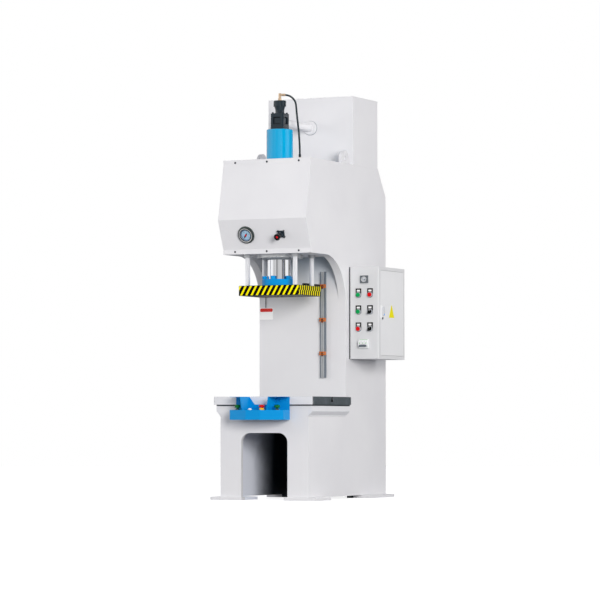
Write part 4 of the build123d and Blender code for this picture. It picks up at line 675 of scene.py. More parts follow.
# Switch rail: drawn aluminium, anodised grey-blue, screwed on the column plate. The three
# limit switches are orange clamps that hold a proximity sensor in the rail's groove.
rail = Finish("anodised_switch_rail")
rail_x = 0.178
drawn = rail.noise(1.0, 2.0, stretch=(700, 700, 3))
across = rail.from_plane("X", rail_x)
lips = rail.times(rail.span(across, 0.0035, 0.0045, 0.0, 1.0), rail.span(across, 0.0095, 0.0115, 1.0, 0.0))
rail_tone = rail.mix(drawn, rgb(134, 144, 154), rgb(112, 122, 132))
rail_tone = rail.mix(rail.times(lips, 0.9), rail_tone, rgb(238, 240, 242))
rail.set(Base_Color=rail_tone, Roughness=rail.span(drawn, 0.3, 0.7, 0.28, 0.42), Metallic=0.6)
rail.relief(drawn, 0.00002, round_edge=0.001)
dress(rail.material, "switch_rail")


def moulded(name, tone, rough, edge=0.0008, gloss_coat=0.0):
    """Moulded plastic: a fine spark-eroded skin and slightly pale edges."""
    plastic = Finish(name)
    colour = plastic.mix(plastic.patches(120.0, 4.0, 0.0, 0.4), tone, toned(tone, 0.82))
    rubbed = plastic.times(plastic.worn_edge(edge * 1.4), 0.5)
    colour = plastic.mix(rubbed, colour, toned(tone, 1.15, lift=0.015))
    gloss = plastic.patches(60.0, 3.0, rough * 0.95, rough * 1.2)
    plastic.set(Base_Color=colour, Roughness=gloss, Specular_IOR_Level=0.25)
    plastic.set(Coat_Weight=gloss_coat, Coat_Roughness=0.1)
    plastic.relief(plastic.noise(900.0, 2.0), 0.00002, round_edge=edge)
    return plastic.material


clamp_orange = moulded("orange_switch_clamps", rgb(206, 112, 48), 0.34)
dress(clamp_orange, "limit_switches")
switch_front_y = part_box("limit_switches")[0].y
top_switch_z, switch_pitch = 1.571, 0.249
clamp_screw_offset = 0.0155
sensor_black = moulded("black_sensor_bodies", rgb(34, 36, 40), 0.4)
sensor_profile = [(0, 0.0135), (0.0038, 0.0135), (0.0052, 0.0125), (0.0054, 0.0)]
sensor_profile += [(0.0054, -0.016), (0.0048, -0.0215), (0.002, -0.0222), (0, -0.0222)]
head = [(0.0045, 0), (0.0045, 0.0022), (0.004, 0.0027)]
head += [(0.0022, 0.0027, 6), (0.0022, 0.001, 6), (0, 0.001)]
sensors = bmesh.new()
clamp_screws = bmesh.new()
for step in range(3):
    z = top_switch_z - step * switch_pitch
    spun(sensors, sensor_profile, Matrix.Translation((rail_x, switch_front_y + 0.0053, z)), sides=24)
    for side in (-1, 1):
        place = on_front(rail_x + side * clamp_screw_offset, switch_front_y, z)
        spun(clamp_screws, head, place, sides=20)
new_piece("switch_sensors", sensors, sensor_black, "frame")
new_piece("switch_clamp_screws", clamp_screws, zinc_screw, "frame")


# Prefill valve: a machined block in black enamel, bolted on the neck by four cap screws,
# with cast windows in three sides and a fluted cap on top.
dress(cast_black, "prefill_valve")
block_top = 2.826
window_z, window_floor = 2.773, 0.0425
# Black frames laid on the window floors are painted shade along the recesses' edges.
window_shade_section = [(0.029, 0.026, 0), (0.029, 0.026, 0.0012), (0.0242, 0.0212, 0.0012), (0.0238, 0.0208, 0)]
window_shade_rings = bmesh.new()
for out, along in (((0, -1), (1, 0)), ((1, 0), (0, 1)), ((-1, 0), (0, -1))):
    floor_spot = (out[0] * window_floor, ram_y + out[1] * window_floor, window_z)
    place = facing(floor_spot, (along[0], along[1], 0), (0, 0, 1))
    loops = []
    for half_w, half_h, rise in window_shade_section:
        corners = ((-half_w, -half_h), (half_w, -half_h), (half_w, half_h), (-half_w, half_h))
        loops.append([window_shade_rings.verts.new(place @ Vector((x, y, rise))) for x, y in corners])
    for near, far in zip(loops, loops[1:]):
        join_rings(window_shade_rings, near, far)
window_shade_black = enamel("window_painted_shade_black", rgb(6, 8, 10), rgb(10, 12, 14), rough=0.6, shine=0.1)
new_piece("valve_window_painted_shade", window_shade_rings, window_shade_black, "frame")
block_screw_offset, block_screw_rise = 0.0385, 0.0092
head = [(0.0068, -0.002), (0.0072, 0.0), (0.0066, 0.0006)]
head += [(0.0038, 0.0006, 6), (0.0038, -0.001, 6), (0, -0.001)]
square_corners = [(x, y) for x in (-1, 1) for y in (-1, 1)]
cap_screws = bmesh.new()
for x, y in square_corners:
    spot = (x * block_screw_offset, ram_y + y * block_screw_offset, block_top + block_screw_rise)
    spun(cap_screws, head, Matrix.Translation(spot), sides=24)
new_piece("block_screw_sockets", cap_screws, black_screw, "frame")


# Hose fittings: an elbow screwed into the valve's cap and a socket on the head, both turned
# from brass bar and left bright.
fitting_brass = bright_metal("turned_brass", rgb(238, 208, 176), 0.3, grain=140.0, metal=0.75)
dress(fitting_brass, "hose_fittings")


# Pilot hose: black rubber hose, 14 mm thick, that bends down beside the cylinder. It is pushed
# on the elbow's tail and crimped at each end.
hose_route = [
    (0.020, 2.966),
    (0.052, 2.966),
    (0.0815, 2.9546),
    (0.1047, 2.9333),
    (0.1186, 2.905),
    (0.123, 2.848),
    (0.130, 2.780),
    (0.139, 2.706),
    (0.144, 2.632),
    (0.1475, 2.567),
    (0.1475, 2.508),
]
hose_turn = radians(30)
hose_out = Vector((cos(hose_turn), sin(hose_turn), 0))
hose_r, hose_length = 0.007, 0.524


def on_hose(out, up):
    """A spot of the hose's upright plane, from its distance to the cylinder's axis."""
    return (out * hose_out.x, ram_y + out * hose_out.y, up)


hose_black = Finish("black_rubber_hose")
braid = hose_black.noise(420.0, 3.0)
hose_black.set(
    Base_Color=hose_black.mix(braid, rgb(44, 56, 62), rgb(28, 36, 41)),
    Roughness=hose_black.span(braid, 0.3, 0.7, 0.4, 0.6),
)
hose_black.relief(braid, 0.00012)
hose_line = bpy.data.curves.new("pilot_hose_line", "CURVE")
hose_line.dimensions = "3D"
hose_line.bevel_depth = hose_r
hose_line.bevel_resolution = 6
hose_line.use_fill_caps = True
hose_spline = hose_line.splines.new("NURBS")
hose_spline.points.add(len(hose_route) - 1)
for point, (out, up) in zip(hose_spline.points, hose_route):
    point.co = (*on_hose(out, up), 1)
hose_spline.order_u = 3
hose_spline.use_endpoint_u = True
hose_spline.resolution_u = 12
hose_line.materials.append(hose_black.material)
hose = bpy.data.objects.new("pilot_hose_rubber", hose_line)
bpy.context.scene.collection.objects.link(hose)
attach(hose, "frame")
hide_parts("pilot_hose")
hose_exit = on_hose(*hose_route[0])

crimp_profile = [(0.0072, 0.0), (0.0092, 0.0005), (0.0095, 0.004), (0.0088, 0.005)]
crimp_profile += [(0.0095, 0.006), (0.0095, 0.012), (0.0088, 0.013), (0.0095, 0.014)]
crimp_profile += [(0.0095, 0.019), (0.0086, 0.021), (0.0072, 0.021)]
at_elbow = facing(hose_exit, (-hose_out.y, hose_out.x, 0), (0, 0, 1))
turned_piece("hose_crimp", crimp_profile, at_elbow, fitting_brass)
lower_crimp_z = 2.530
at_socket = facing(on_hose(hose_route[-1][0], lower_crimp_z), (1, 0, 0), (0, -1, 0))
turned_piece("lower_hose_crimp", crimp_profile, at_socket, black_screw)


# Head cover: 4 mm sheet folded twice, with its ends closed, held by three screws along the
# top edge and three along the bottom.
dress(frame_white, "head_cover")
strip_y = -0.6365
cover_screw_xs, cover_screw_zs = (-0.258, 0.0, 0.258), (2.458, 1.806)
cover_screws = bmesh.new()
for x in cover_screw_xs:
    for z in cover_screw_zs:
        button_screw(cover_screws, on_front(x, strip_y, z), 0.0054, 0.0045)
new_piece("head_cover_screws", cover_screws, black_screw, "frame")


# Pressure gauge: a chromed case in the sloped panel, a pale blue dial printed with a scale,
# a black needle with a red hub, and a flat glass.
panel_up = (0, -0.37214, 0.92816)
panel_y, panel_z = -0.677797, 1.926
gauge_spot = (-0.146, panel_y, panel_z)
gauge_place = facing(gauge_spot, (1, 0, 0), panel_up)
# The case's chrome is coloured dark grey-green: a painted dark reflection.
case_chrome_painted_dark = bright_metal("gauge_chrome_painted_dark_reflection", rgb(92, 101, 98), 0.3, grain=60.0)
dress(case_chrome_painted_dark, "gauge_case")
needle_black = moulded("needle_black", rgb(16, 16, 18), 0.4)
dress(needle_black, "gauge_needle")


def flat_marks(mesh, place, marks, height):
    """Adds thin printed marks: each a list of (x, y) corners laid on the face."""
    ink = 0.0001
    for corners in marks:
        low = [mesh.verts.new(place @ Vector((x, y, height))) for x, y in corners]
        high = [mesh.verts.new(place @ Vector((x, y, height + ink))) for x, y in corners]
        mesh.faces.new(high)
        mesh.faces.new(low[::-1])
        join_rings(mesh, low, high)


def mark_bar(angle, near, far, width):
    """A mark that points out from the middle at an angle."""
    out = Vector((cos(angle), sin(angle)))
    across = Vector((-out.y, out.x)) * width / 2
    a, b = out * near, out * far
    return [(a - across)[:], (b - across)[:], (b + across)[:], (a + across)[:]]


dial_low, dial_top = 0.006, 0.0062
dial_r = 0.0418
dial_blue = Finish("printed_gauge_dial")
out_from_hub = dial_blue.add("ShaderNodeVectorMath", operation="DISTANCE")
dial_blue.feed(out_from_hub.inputs[0], dial_blue.place)
out_from_hub.inputs[1].default_value = gauge_spot
# The dial darkens towards its rim: painted shade under the bezel.
dial_rim_painted_shade = dial_blue.span(out_from_hub.outputs["Value"], 0.031, 0.040, 0.0, 0.75)
dial_tone = dial_blue.mix(dial_blue.noise(50.0, 3.0), rgb(170, 204, 228), rgb(150, 186, 214))
dial_blue.set(Base_Color=dial_blue.mix(dial_rim_painted_shade, dial_tone, rgb(84, 104, 148)), Roughness=0.4)
dial_blue.relief(dial_blue.noise(600.0, 2.0), 0.00001)
dial_profile = [(0, dial_top), (dial_r, dial_top), (dial_r, dial_low)]
turned_piece("gauge_dial", dial_profile, gauge_place, dial_blue.material, sides=64)

scale_ink = moulded("scale_ink", rgb(24, 34, 70), 0.5)
scale_start, scale_sweep = radians(232), radians(270)
scale_steps, scale_r = 50, 0.0385
arc_near, arc_far = 0.0383, 0.0395
marks = []
for i in range(scale_steps + 1):
    turn = scale_start - scale_sweep * i / scale_steps
    if i % 10 == 0:
        marks.append(mark_bar(turn, 0.0305, scale_r, 0.0016))
    elif i % 5 == 0:
        marks.append(mark_bar(turn, 0.033, scale_r, 0.0012))
    else:
        marks.append(mark_bar(turn, 0.0355, scale_r, 0.0008))
for i in range(scale_steps):
    turn = scale_start - scale_sweep * i / scale_steps
    nxt = scale_start - scale_sweep * (i + 1) / scale_steps
    arc = ((turn, arc_near), (nxt, arc_near), (nxt, arc_far), (turn, arc_far))
    marks.append([(reach * cos(angle), reach * sin(angle)) for angle, reach in arc])
scale = bmesh.new()
flat_marks(scale, gauge_place, marks, dial_top)
new_piece("gauge_scale", scale, scale_ink, "frame")


def figures(name, text, place, height, size, material):
    """Printed figures, centred on a spot of a face."""
    letters = bpy.data.curves.new(name, "FONT")
    letters.body = text
    letters.size = size
    letters.extrude = 0.00003
    letters.align_x = "CENTER"
    letters.align_y = "CENTER"
    draft = bpy.data.objects.new(name + "_draft", letters)
    bpy.context.scene.collection.objects.link(draft)
    bpy.context.view_layer.update()
    data = bpy.data.meshes.new_from_object(draft)
    bpy.data.objects.remove(draft)
    data.transform(place @ Matrix.Translation((0, 0, height)))
    data.materials.clear()
    data.materials.append(material)
    data.name = name
    piece = bpy.data.objects.new(name, data)
    bpy.context.scene.collection.objects.link(piece)
    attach(piece, "frame")


figure_r, figure_height, figure_z = 0.0245, 0.0078, dial_low + 0.00024
for i, number in enumerate(("0", "5", "10", "15", "20", "25")):
    turn = scale_start - scale_sweep * i / 5
    spot = gauge_place @ Matrix.Translation((figure_r * cos(turn), figure_r * sin(turn), 0))
    figures("gauge_figure_" + number, number, spot, figure_z, figure_height, scale_ink)

needle_place = gauge_place @ Matrix.Rotation(scale_start, 4, "Z")
boss_z, boss_shift = 0.0086, 0.0045
boss_place = needle_place @ Matrix.Translation((boss_shift, 0, boss_z)) @ Matrix.Diagonal((2.8, 0.9, 1, 1))
boss_profile = [(0, 0.0014), (0.0058, 0.0013), (0.0068, 0.0008), (0.0070, 0.0)]
turned_piece(
    "needle_boss", boss_profile, boss_place, needle_black, sides=48, body="gauge_needle"
)

hub_red = moulded("red_hub", rgb(236, 16, 22), 0.33, gloss_coat=0.1)
hub_z, hub_shift = 0.0088, 0.0015
hub_place = needle_place @ Matrix.Translation((hub_shift, 0, hub_z)) @ Matrix.Diagonal((1.45, 1.25, 1, 1))
hub_profile = [(0, 0.0026), (0.004, 0.0024), (0.0054, 0.0014), (0.0058, 0.0002)]
turned_piece("needle_hub_cap", hub_profile, hub_place, hub_red, body="gauge_needle")


def clear_pane(name, tint, rough=0.02):
    """Clear glass that lets light through without a caustic's noise."""
    glass = Finish(name)
    smear = glass.span(glass.noise(40.0, 4.0), 0.4, 0.8, rough, rough + 0.05)
    glass.set(Base_Color=tint, Roughness=smear, Transmission_Weight=1.0, IOR=1.45, Alpha=0.16)
    return glass.material


glass_clear = clear_pane("gauge_glass", (0.95, 0.98, 1.0, 1.0))
pane_profile = [(0, 0.0138), (0.025, 0.0134), (dial_r, 0.0124)]
pane_profile += [(dial_r, 0.0114), (0.025, 0.0124), (0, 0.0128)]
turned_piece("gauge_pane", pane_profile, gauge_place, glass_clear, sides=64)

bezel_profile = [(0.0520, 0.0150), (0.0530, 0.0166), (0.0560, 0.0164), (0.0600, 0.0144)]
bezel_profile += [(0.0630, 0.0112), (0.0646, 0.0070), (0.0646, 0.0022), (0.0655, 0.0016)]
bezel_profile += [(0.0655, 0.0001), (0.0600, 0.0001)]
turned_piece("gauge_bezel", bezel_profile, gauge_place, case_chrome_painted_dark, sides=96)
# The lip's metal is near white: a painted highlight for its bright reflection. The hour meter's ring uses
# the same metal.
bright_ring_and_painted_highlight_metal = bright_metal("bright_ring_and_painted_highlight_metal", rgb(244, 244, 244), 0.3, grain=60.0, metal=0.6)
lip_profile = [(0.0535, 0.0160), (0.0515, 0.0168), (0.0475, 0.0162), (0.0424, 0.0126)]
lip_profile += [(dial_r, 0.0095), (dial_r, 0.0070)]
turned_piece("gauge_lip", lip_profile, gauge_place, bright_ring_and_painted_highlight_metal, sides=96)


# Control valve: a black cast flange with four lobed ears and a flared knob, whose end has
# a red disc. Four cap screws hold the flange on the panel.
dress(cast_black, "control_valve")
knob_black = moulded("black_knob", rgb(14, 15, 18), 0.34, gloss_coat=0.1)
dress(knob_black, "valve_knob")
valve_x = 0.139
valve_place = facing((valve_x, panel_y, panel_z), (1, 0, 0), panel_up)
ear_offset, ear_top = 0.023, 0.013
head = [(0.005, 0), (0.005, 0.0035), (0.0045, 0.004)]
head += [(0.0025, 0.004, 6), (0.0025, 0.0015, 6), (0, 0.0015)]
ear_screws = bmesh.new()
for x, y in square_corners:
    place = valve_place @ Matrix.Translation((x * ear_offset, y * ear_offset, ear_top))
    spun(ear_screws, head, place, sides=20)
new_piece("valve_ear_screws", ear_screws, black_screw, "frame")
flange_rise, boss_rise, knob_gap, knob_length = 0.009, 0.027, 0.0003, 0.042
knob_end = valve_place @ Matrix.Translation((0, 0, flange_rise + boss_rise + knob_gap + knob_length))
disc_profile = [(0, 0.0012), (0.0070, 0.0012), (0.0080, 0.0006), (0.0082, -0.0004)]
turned_piece(
    "knob_red_disc", disc_profile, knob_end, hub_red, sides=48, body="valve_knob"
)
rim_profile = [(0.0088, 0.0), (0.0088, 0.0014), (0.0105, 0.0018)]
rim_profile += [(0.0225, 0.0014), (0.0244, 0.0), (0.0220, -0.0004)]
turned_piece(
    "knob_end_rim", rim_profile, knob_end, knob_black, sides=48, body="valve_knob"
)


# Console: a tray folded from thin sheet and painted blue, screwed to the table's front
# edge. Two folded hoods keep the palm buttons from being pressed by accident.
blue, blue_shade = rgb(0, 147, 216), rgb(0, 138, 208)
console_blue = enamel("console_blue_enamel", blue, blue_shade, rough=0.33, edge=0.0006, shine=0.22)
dress(console_blue, "console_box", "hand_hoods")
hood_sheet, hood_screw_z = 0.0025, 0.722
console_screws = bmesh.new()
for x in (-0.19, -0.14, 0.14, 0.19):
    button_screw(console_screws, on_front(x, table_low.y - hood_sheet, hood_screw_z), 0.0062, 0.0045)
new_piece("console_screws", console_screws, console_blue, "frame")


# Palm buttons, stop button and white button: moulded plastic heads, each on a collar that is
# clamped in the console's top. Zinc-plated rings hold the collars of the two palm buttons.
palm_green = moulded("palm_green", rgb(0, 104, 42), 0.3, gloss_coat=0.1)
stop_red = moulded("stop_red", rgb(206, 10, 14), 0.3, gloss_coat=0.1)
cap_white = moulded("cap_white", rgb(250, 250, 251), 0.35)
dress(palm_green, "left_palm_button", "right_palm_button")
dress(stop_red, "stop_button")
dress(cap_white, "white_button")
collar = Finish("moulded_collars")
stop_x, white_x, collar_reach = 0.048, -0.048, 0.03
under_stop = collar.below(collar.from_plane("X", stop_x), collar_reach)
under_white = collar.below(collar.from_plane("X", white_x), collar_reach)
collar_tone = collar.mix(under_stop, rgb(30, 32, 36), rgb(250, 190, 20))
collar_tone = collar.mix(under_white, collar_tone, rgb(222, 224, 226))
collar_tone = collar.mix(collar.times(collar.noise(150.0, 3.0), 0.15), collar_tone, rgb(90, 90, 90))
collar.set(Base_Color=collar_tone, Roughness=collar.patches(60.0, 3.0, 0.3, 0.42))
collar.relief(collar.noise(800.0, 2.0), 0.00002, round_edge=0.0008)
dress(collar.material, "button_collars")
console_top = 0.653
palm_x, palm_y = 0.159, table_low.y - 0.091
ring_profile = [(0.0152, 0.0), (0.0186, 0.0), (0.0186, 0.0022), (0.0176, 0.0028), (0.0152, 0.0028)]
rings = bmesh.new()
for x in (-palm_x, palm_x):
    spun(rings, ring_profile, Matrix.Translation((x, palm_y, console_top)), sides=40)
new_piece("collar_rings", rings, zinc_screw, "frame")


# Electrical cabinet: a folded and welded box of 2 mm sheet on two bars, in grey-white enamel,
# with a grey strip along the frame that is painted shade in the gap. The door hangs on two pins
# at its rear edge and seals on a rubber strip.
# The body is coloured a little darker and the door a little lighter: painted shade on the front, painted
# light on the side.
cabinet_white_painted_shade = enamel("cabinet_enamel_painted_shade", rgb(216, 217, 219), rgb(210, 211, 214), edge=0.001, peel=0.00003)
dress(cabinet_white_painted_shade, "cabinet_body")
door_white_painted_light = enamel("cabinet_door_enamel_painted_light", rgb(228, 229, 231), rgb(221, 222, 225), edge=0.001, peel=0.00003)
dress(door_white_painted_light, "cabinet_door")
cabinet_low, cabinet_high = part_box("cabinet_body")
door_face_x = cabinet_high.x
# A grey strip fills the gap between the cabinet and the frame: painted shade in the gap.
gap_shade_depth, gap_shade_edge = 0.014, 0.002
gap_shade_y = cabinet_low.y + gap_shade_edge
gap_shade_outline = [(side_x, gap_shade_y + gap_shade_depth), (side_x, gap_shade_y + gap_shade_edge), (side_x + gap_shade_edge, gap_shade_y)]
gap_shade_outline += [(cabinet_low.x - gap_shade_edge, gap_shade_y), (cabinet_low.x, gap_shade_y + gap_shade_edge)]
gap_shade_outline += [(cabinet_low.x, gap_shade_y + gap_shade_depth)]
gap_shade_strip = bmesh.new()
gap_shade_low = [gap_shade_strip.verts.new((x, y, cabinet_low.z)) for x, y in gap_shade_outline]
gap_shade_high = [gap_shade_strip.verts.new((x, y, cabinet_high.z)) for x, y in gap_shade_outline]
gap_shade_strip.faces.new(gap_shade_low[::-1])
gap_shade_strip.faces.new(gap_shade_high)
join_rings(gap_shade_strip, gap_shade_low, gap_shade_high)
gap_shade_grey = moulded("cabinet_gap_painted_shade_grey", rgb(92, 100, 108), 0.7)
new_piece("cabinet_gap_painted_shade_strip", gap_shade_strip, gap_shade_grey, "frame")

rubber = moulded("door_seal_rubber", rgb(30, 32, 34), 0.7)
seal_width, seal_half_depth = 0.006, 0.004
seal_x = door_face_x - 0.010
seal_ys, seal_zs = (0.060, 0.470), (1.063, 1.681)
seal = bmesh.new()
seal_rings = []
for row, column in ((0, 0), (0, 1), (1, 1), (1, 0)):
    spot = Vector((seal_x, seal_ys[column], seal_zs[row]))
    inward = Vector((0, -seal_width if column else seal_width, -seal_width if row else seal_width))
    out = Vector((seal_half_depth, 0, 0))
    section = (spot - out, spot + out, spot + inward + out, spot + inward - out)
    seal_rings.append([seal.verts.new(corner) for corner in section])
for near, far in zip(seal_rings, seal_rings[1:] + seal_rings[:1]):
    join_rings(seal, near, far)
new_piece("door_seal", seal, rubber, "cabinet_door")


# Control gear: contactors, a transformer and a terminal strip, moulded in cream and black
# plastic and screwed on a zinc-plated sheet inside the cabinet.
gear = Finish("control_gear_parts")
sheet_x = 0.3845
terminal_top_z, middle_low_z, middle_high_z = 1.2, 1.26, 1.4
on_plate = gear.below(gear.axis("X"), sheet_x)
gear_cream = gear.mix(gear.noise(80.0, 3.0), rgb(206, 206, 200), rgb(186, 187, 182))
zinc_tone = gear.mix(gear.noise(35.0, 5.0), rgb(178, 180, 182), rgb(150, 153, 156))
low_row = gear.below(gear.axis("Z"), terminal_top_z)
middle_row = gear.above(gear.axis("Z"), middle_low_z)
middle_row = gear.times(middle_row, gear.below(gear.axis("Z"), middle_high_z))
device_tone = gear.mix(low_row, gear_cream, rgb(70, 74, 78))
device_tone = gear.mix(middle_row, device_tone, rgb(96, 84, 62))
gear.set(
    Base_Color=gear.mix(on_plate, device_tone, zinc_tone),
    Roughness=gear.span(on_plate, 0, 1, 0.45, 0.35),
)
gear.relief(gear.noise(400.0, 2.0), 0.00004, round_edge=0.001)
dress(gear.material, "control_gear")


# Door handle: a swing lever on a rounded plate, die-cast and sprayed grey, with a round steel
# lock below it and a blue dot where the lever shows that it is shut.
handle = Finish("grey_handle_with_blue_dot")
dot_y, dot_z, dot_r = 0.0875, 1.3585, 0.0078
off_y = handle.minus(handle.axis("Y"), dot_y)
off_z = handle.minus(handle.axis("Z"), dot_z)
off_squared = handle.plus(handle.times(off_y, off_y), handle.times(off_z, off_z))
is_dot = handle.below(off_squared, dot_r * dot_r)
handle_tone = handle.mix(handle.noise(80.0, 3.0), rgb(208, 210, 214), rgb(196, 198, 203))
rubbed = handle.times(handle.worn_edge(0.0015), 0.5)
handle_tone = handle.mix(rubbed, handle_tone, rgb(176, 179, 184))
handle.set(
    Base_Color=handle.mix(is_dot, handle_tone, rgb(40, 150, 228)),
    Roughness=handle.patches(60.0, 3.0, 0.3, 0.4),
)
handle.relief(handle.noise(700.0, 2.0), 0.00001, round_edge=0.001)
dress(handle.material, "door_latch")
lock_y, lock_z, handle_plate = 0.0805, 1.3315, 0.006
lock_profile = [(0.0082, 0), (0.0082, 0.003), (0.0076, 0.0036)]
lock_profile += [(0.0035, 0.0036), (0.0032, 0.0012), (0, 0.0012)]


def on_door(*spot):
    """A place on the door's outer face."""
    return facing(spot, (0, 1, 0), (0, 0, 1))


lock_place = on_door(door_face_x + handle_plate, lock_y, lock_z)
turned_piece("door_lock", lock_profile, lock_place, black_screw, body="cabinet_door")


# Hour meter: a dark grey frame with a bright ring, which holds a domed glass over a pale
# face with a small counter. The frame is clipped in a square hole of the cabinet.
bezel_grey = moulded("meter_bezel_grey", rgb(104, 110, 115), 0.42)
dress(bezel_grey, "hour_meter")
face_y = 0.0185
middle_x = 0.479
meter_z, meter_top = 1.619, 0.0074
meter_place = on_front(middle_x, face_y, meter_z)
meter_face = moulded("meter_face", rgb(214, 218, 224), 0.4)
meter_r = 0.0168
face_profile = [(0, meter_top), (meter_r, meter_top), (meter_r, 0.0070)]
turned_piece("hour_meter_face", face_profile, meter_place, meter_face, sides=64)


def block(left, right, low, high):
    """The four corners of an upright rectangle."""
    return [(left, low), (right, low), (right, high), (left, high)]


counter_marks = [block(-0.0095, 0.0095, -0.0065, -0.0005)]
counter_marks += [mark_bar(2 * pi * i / 12, 0.0125, 0.0148, 0.0007) for i in range(12)]
counter = bmesh.new()
flat_marks(counter, meter_place, counter_marks, meter_top + 0.0001)
new_piece("hour_meter_counter", counter, scale_ink, "frame")
digits_place = meter_place @ Matrix.Translation((0, -0.0035, 0))
digit_height, digits_z = 0.0055, meter_top + 0.0003
figures("hour_meter_digits", "00472", digits_place, digits_z, digit_height, cap_white)
pane_profile = [(0, 0.0160), (0.009, 0.0153), (0.0166, 0.0126)]
pane_profile += [(0.0166, 0.0116), (0.009, 0.0143), (0, 0.0150)]
turned_piece("hour_meter_pane", pane_profile, meter_place, glass_clear, sides=48)
ring_profile = [(meter_r, 0.0120), (meter_r, 0.0134), (0.0182, 0.0140)]
ring_profile += [(0.0200, 0.0133), (0.0206, 0.0110), (0.0206, 0.0091)]
turned_piece("hour_meter_ring", ring_profile, meter_place, bright_ring_and_painted_highlight_metal, sides=64)


# Legend plates: black moulded frames with a white insert above each control. A bright
# ring is screwed down on each to hold the control in the sheet.
frame_black = moulded("legend_black", rgb(8, 8, 10), 0.4)
dress(frame_black, "legend_plates")
control_rows = (1.505, 1.380, 1.254)
control_spread = 0.047
legend_thickness = 0.0026
ring_metal = bright_metal("control_ring_metal", rgb(232, 238, 246), 0.2, grain=120.0, metal=0.5)
ring_profile = [(0.0160, 0.0100), (0.0160, 0.0113), (0.0172, 0.0118), (0.0192, 0.0114)]
ring_profile += [(0.0204, 0.0098), (0.0206, 0.0060), (0.0212, 0.0052), (0.0212, 0.0041)]
ring_profile += [(0.0200, 0.0040)]
inserts = bmesh.new()
control_rings = bmesh.new()
for z in control_rows:
    for x in (middle_x - control_spread, middle_x + control_spread):
        place = on_front(x, face_y, z)
        flat_marks(inserts, place, [block(-0.0132, 0.0132, 0.0240, 0.0376)], legend_thickness)
        spun(control_rings, ring_profile, place, sides=56)
new_piece("legend_inserts", inserts, cap_white, "frame")
new_piece("control_rings", control_rings, ring_metal, "frame")


# Push buttons and selector switches: domed caps moulded in green and red, and black grips
# with a white line printed on each. They are held in the sheet by the bright rings.
button_green = moulded("button_green", rgb(0, 160, 84), 0.34, gloss_coat=0.05)
button_red = moulded("button_red", rgb(222, 0, 8), 0.34, gloss_coat=0.05)
grip_black = moulded("selector_black", rgb(6, 6, 7), 0.34, gloss_coat=0.05)
dress(button_green, "upper_green_button", "lower_green_button")
dress(button_red, "upper_red_button", "lower_red_button")
dress(grip_black, "upper_selector", "lower_selector")
grip_top, grip_turn = 0.0293, radians(60)
for name, row in (("upper_selector", 1), ("lower_selector", 2)):
    pointer = bmesh.new()
    place = on_front(middle_x + control_spread, face_y, control_rows[row])
    flat_marks(pointer, place, [mark_bar(grip_turn, 0.006, 0.0165, 0.0018)], grip_top)
    new_piece(name + "_line", pointer, cap_white, name)


# Breaker: a white three-pole moulding let into the cabinet, with a grey bar that ties its
# toggles, a pale green line on its brow and three green marks over the poles.
breaker_white = moulded("breaker_white", rgb(236, 238, 240), 0.38)
toggle_grey = moulded("toggle_grey", rgb(104, 112, 122), 0.38)
dress(breaker_white, "breaker")
dress(toggle_grey, "breaker_toggle")
mark_green = moulded("breaker_green", rgb(96, 180, 84), 0.4)
brow_depth, nose_depth = 0.016, 0.030
brow_place = on_front(middle_x, face_y - brow_depth, 1.1725)
nose_place = on_front(middle_x, face_y - nose_depth, 1.1475)
pole_pitch = 0.0253
green = bmesh.new()
flat_marks(green, brow_place, [block(-0.031, 0.031, -0.0012, 0.0012)], 0.0)
tags = [block(x - 0.004, x + 0.004, -0.003, 0.003) for x in (-pole_pitch, 0.0, pole_pitch)]
flat_marks(green, nose_place, tags, 0.0)
new_piece("breaker_green_marks", green, mark_green, "frame")
seams = bmesh.new()
seam_xs = (-pole_pitch / 2, pole_pitch / 2)
flat_marks(seams, nose_place, [block(x - 0.0004, x + 0.0004, -0.0095, 0.017) for x in seam_xs], 0.0)
new_piece("breaker_pole_seams", seams, bezel_grey, "frame")


# Label plates: a white plate with a red band on the column, below a thin dark rod with a screw
# at its top, and a yellow triangle on the cabinet's door. Both plates are thin painted aluminium
# with rounded corners.


def thin_plate(name, outline, place, material, body):
    """A thin plate cut to an outline, with a small chamfer round its face."""
    mesh = bmesh.new()
    thickness, inset = 0.0012, 0.0006
    middle = sum((Vector(p) for p in outline), Vector((0, 0))) / len(outline)
    low, high, top = [], [], []
    for p in outline:
        spot = Vector(p)
        near = spot + (middle - spot).normalized() * inset
        low.append(mesh.verts.new(place @ Vector((spot.x, spot.y, 0))))
        high.append(mesh.verts.new(place @ Vector((spot.x, spot.y, thickness - inset / 2))))
        top.append(mesh.verts.new(place @ Vector((near.x, near.y, thickness))))
    mesh.faces.new(low[::-1])
    mesh.faces.new(top)
    join_rings(mesh, low, high)
    join_rings(mesh, high, top)
    new_piece(name, mesh, material, body, crease=20)


def rounded(corners, radius, steps=5):
    """An outline with its corners rounded."""
    outline = []
    count = len(corners)
    for i in range(count):
        here = Vector(corners[i])
        before = (Vector(corners[i - 1]) - here).normalized()
        after = (Vector(corners[(i + 1) % count]) - here).normalized()
        half = before.angle(after) / 2
        start = here + before * radius / tan(half)
        end = here + after * radius / tan(half)
        for s in range(steps + 1):
            t = s / steps
            outline.append((start * (1 - t) ** 2 + here * 2 * t * (1 - t) + end * t**2)[:])
    return outline


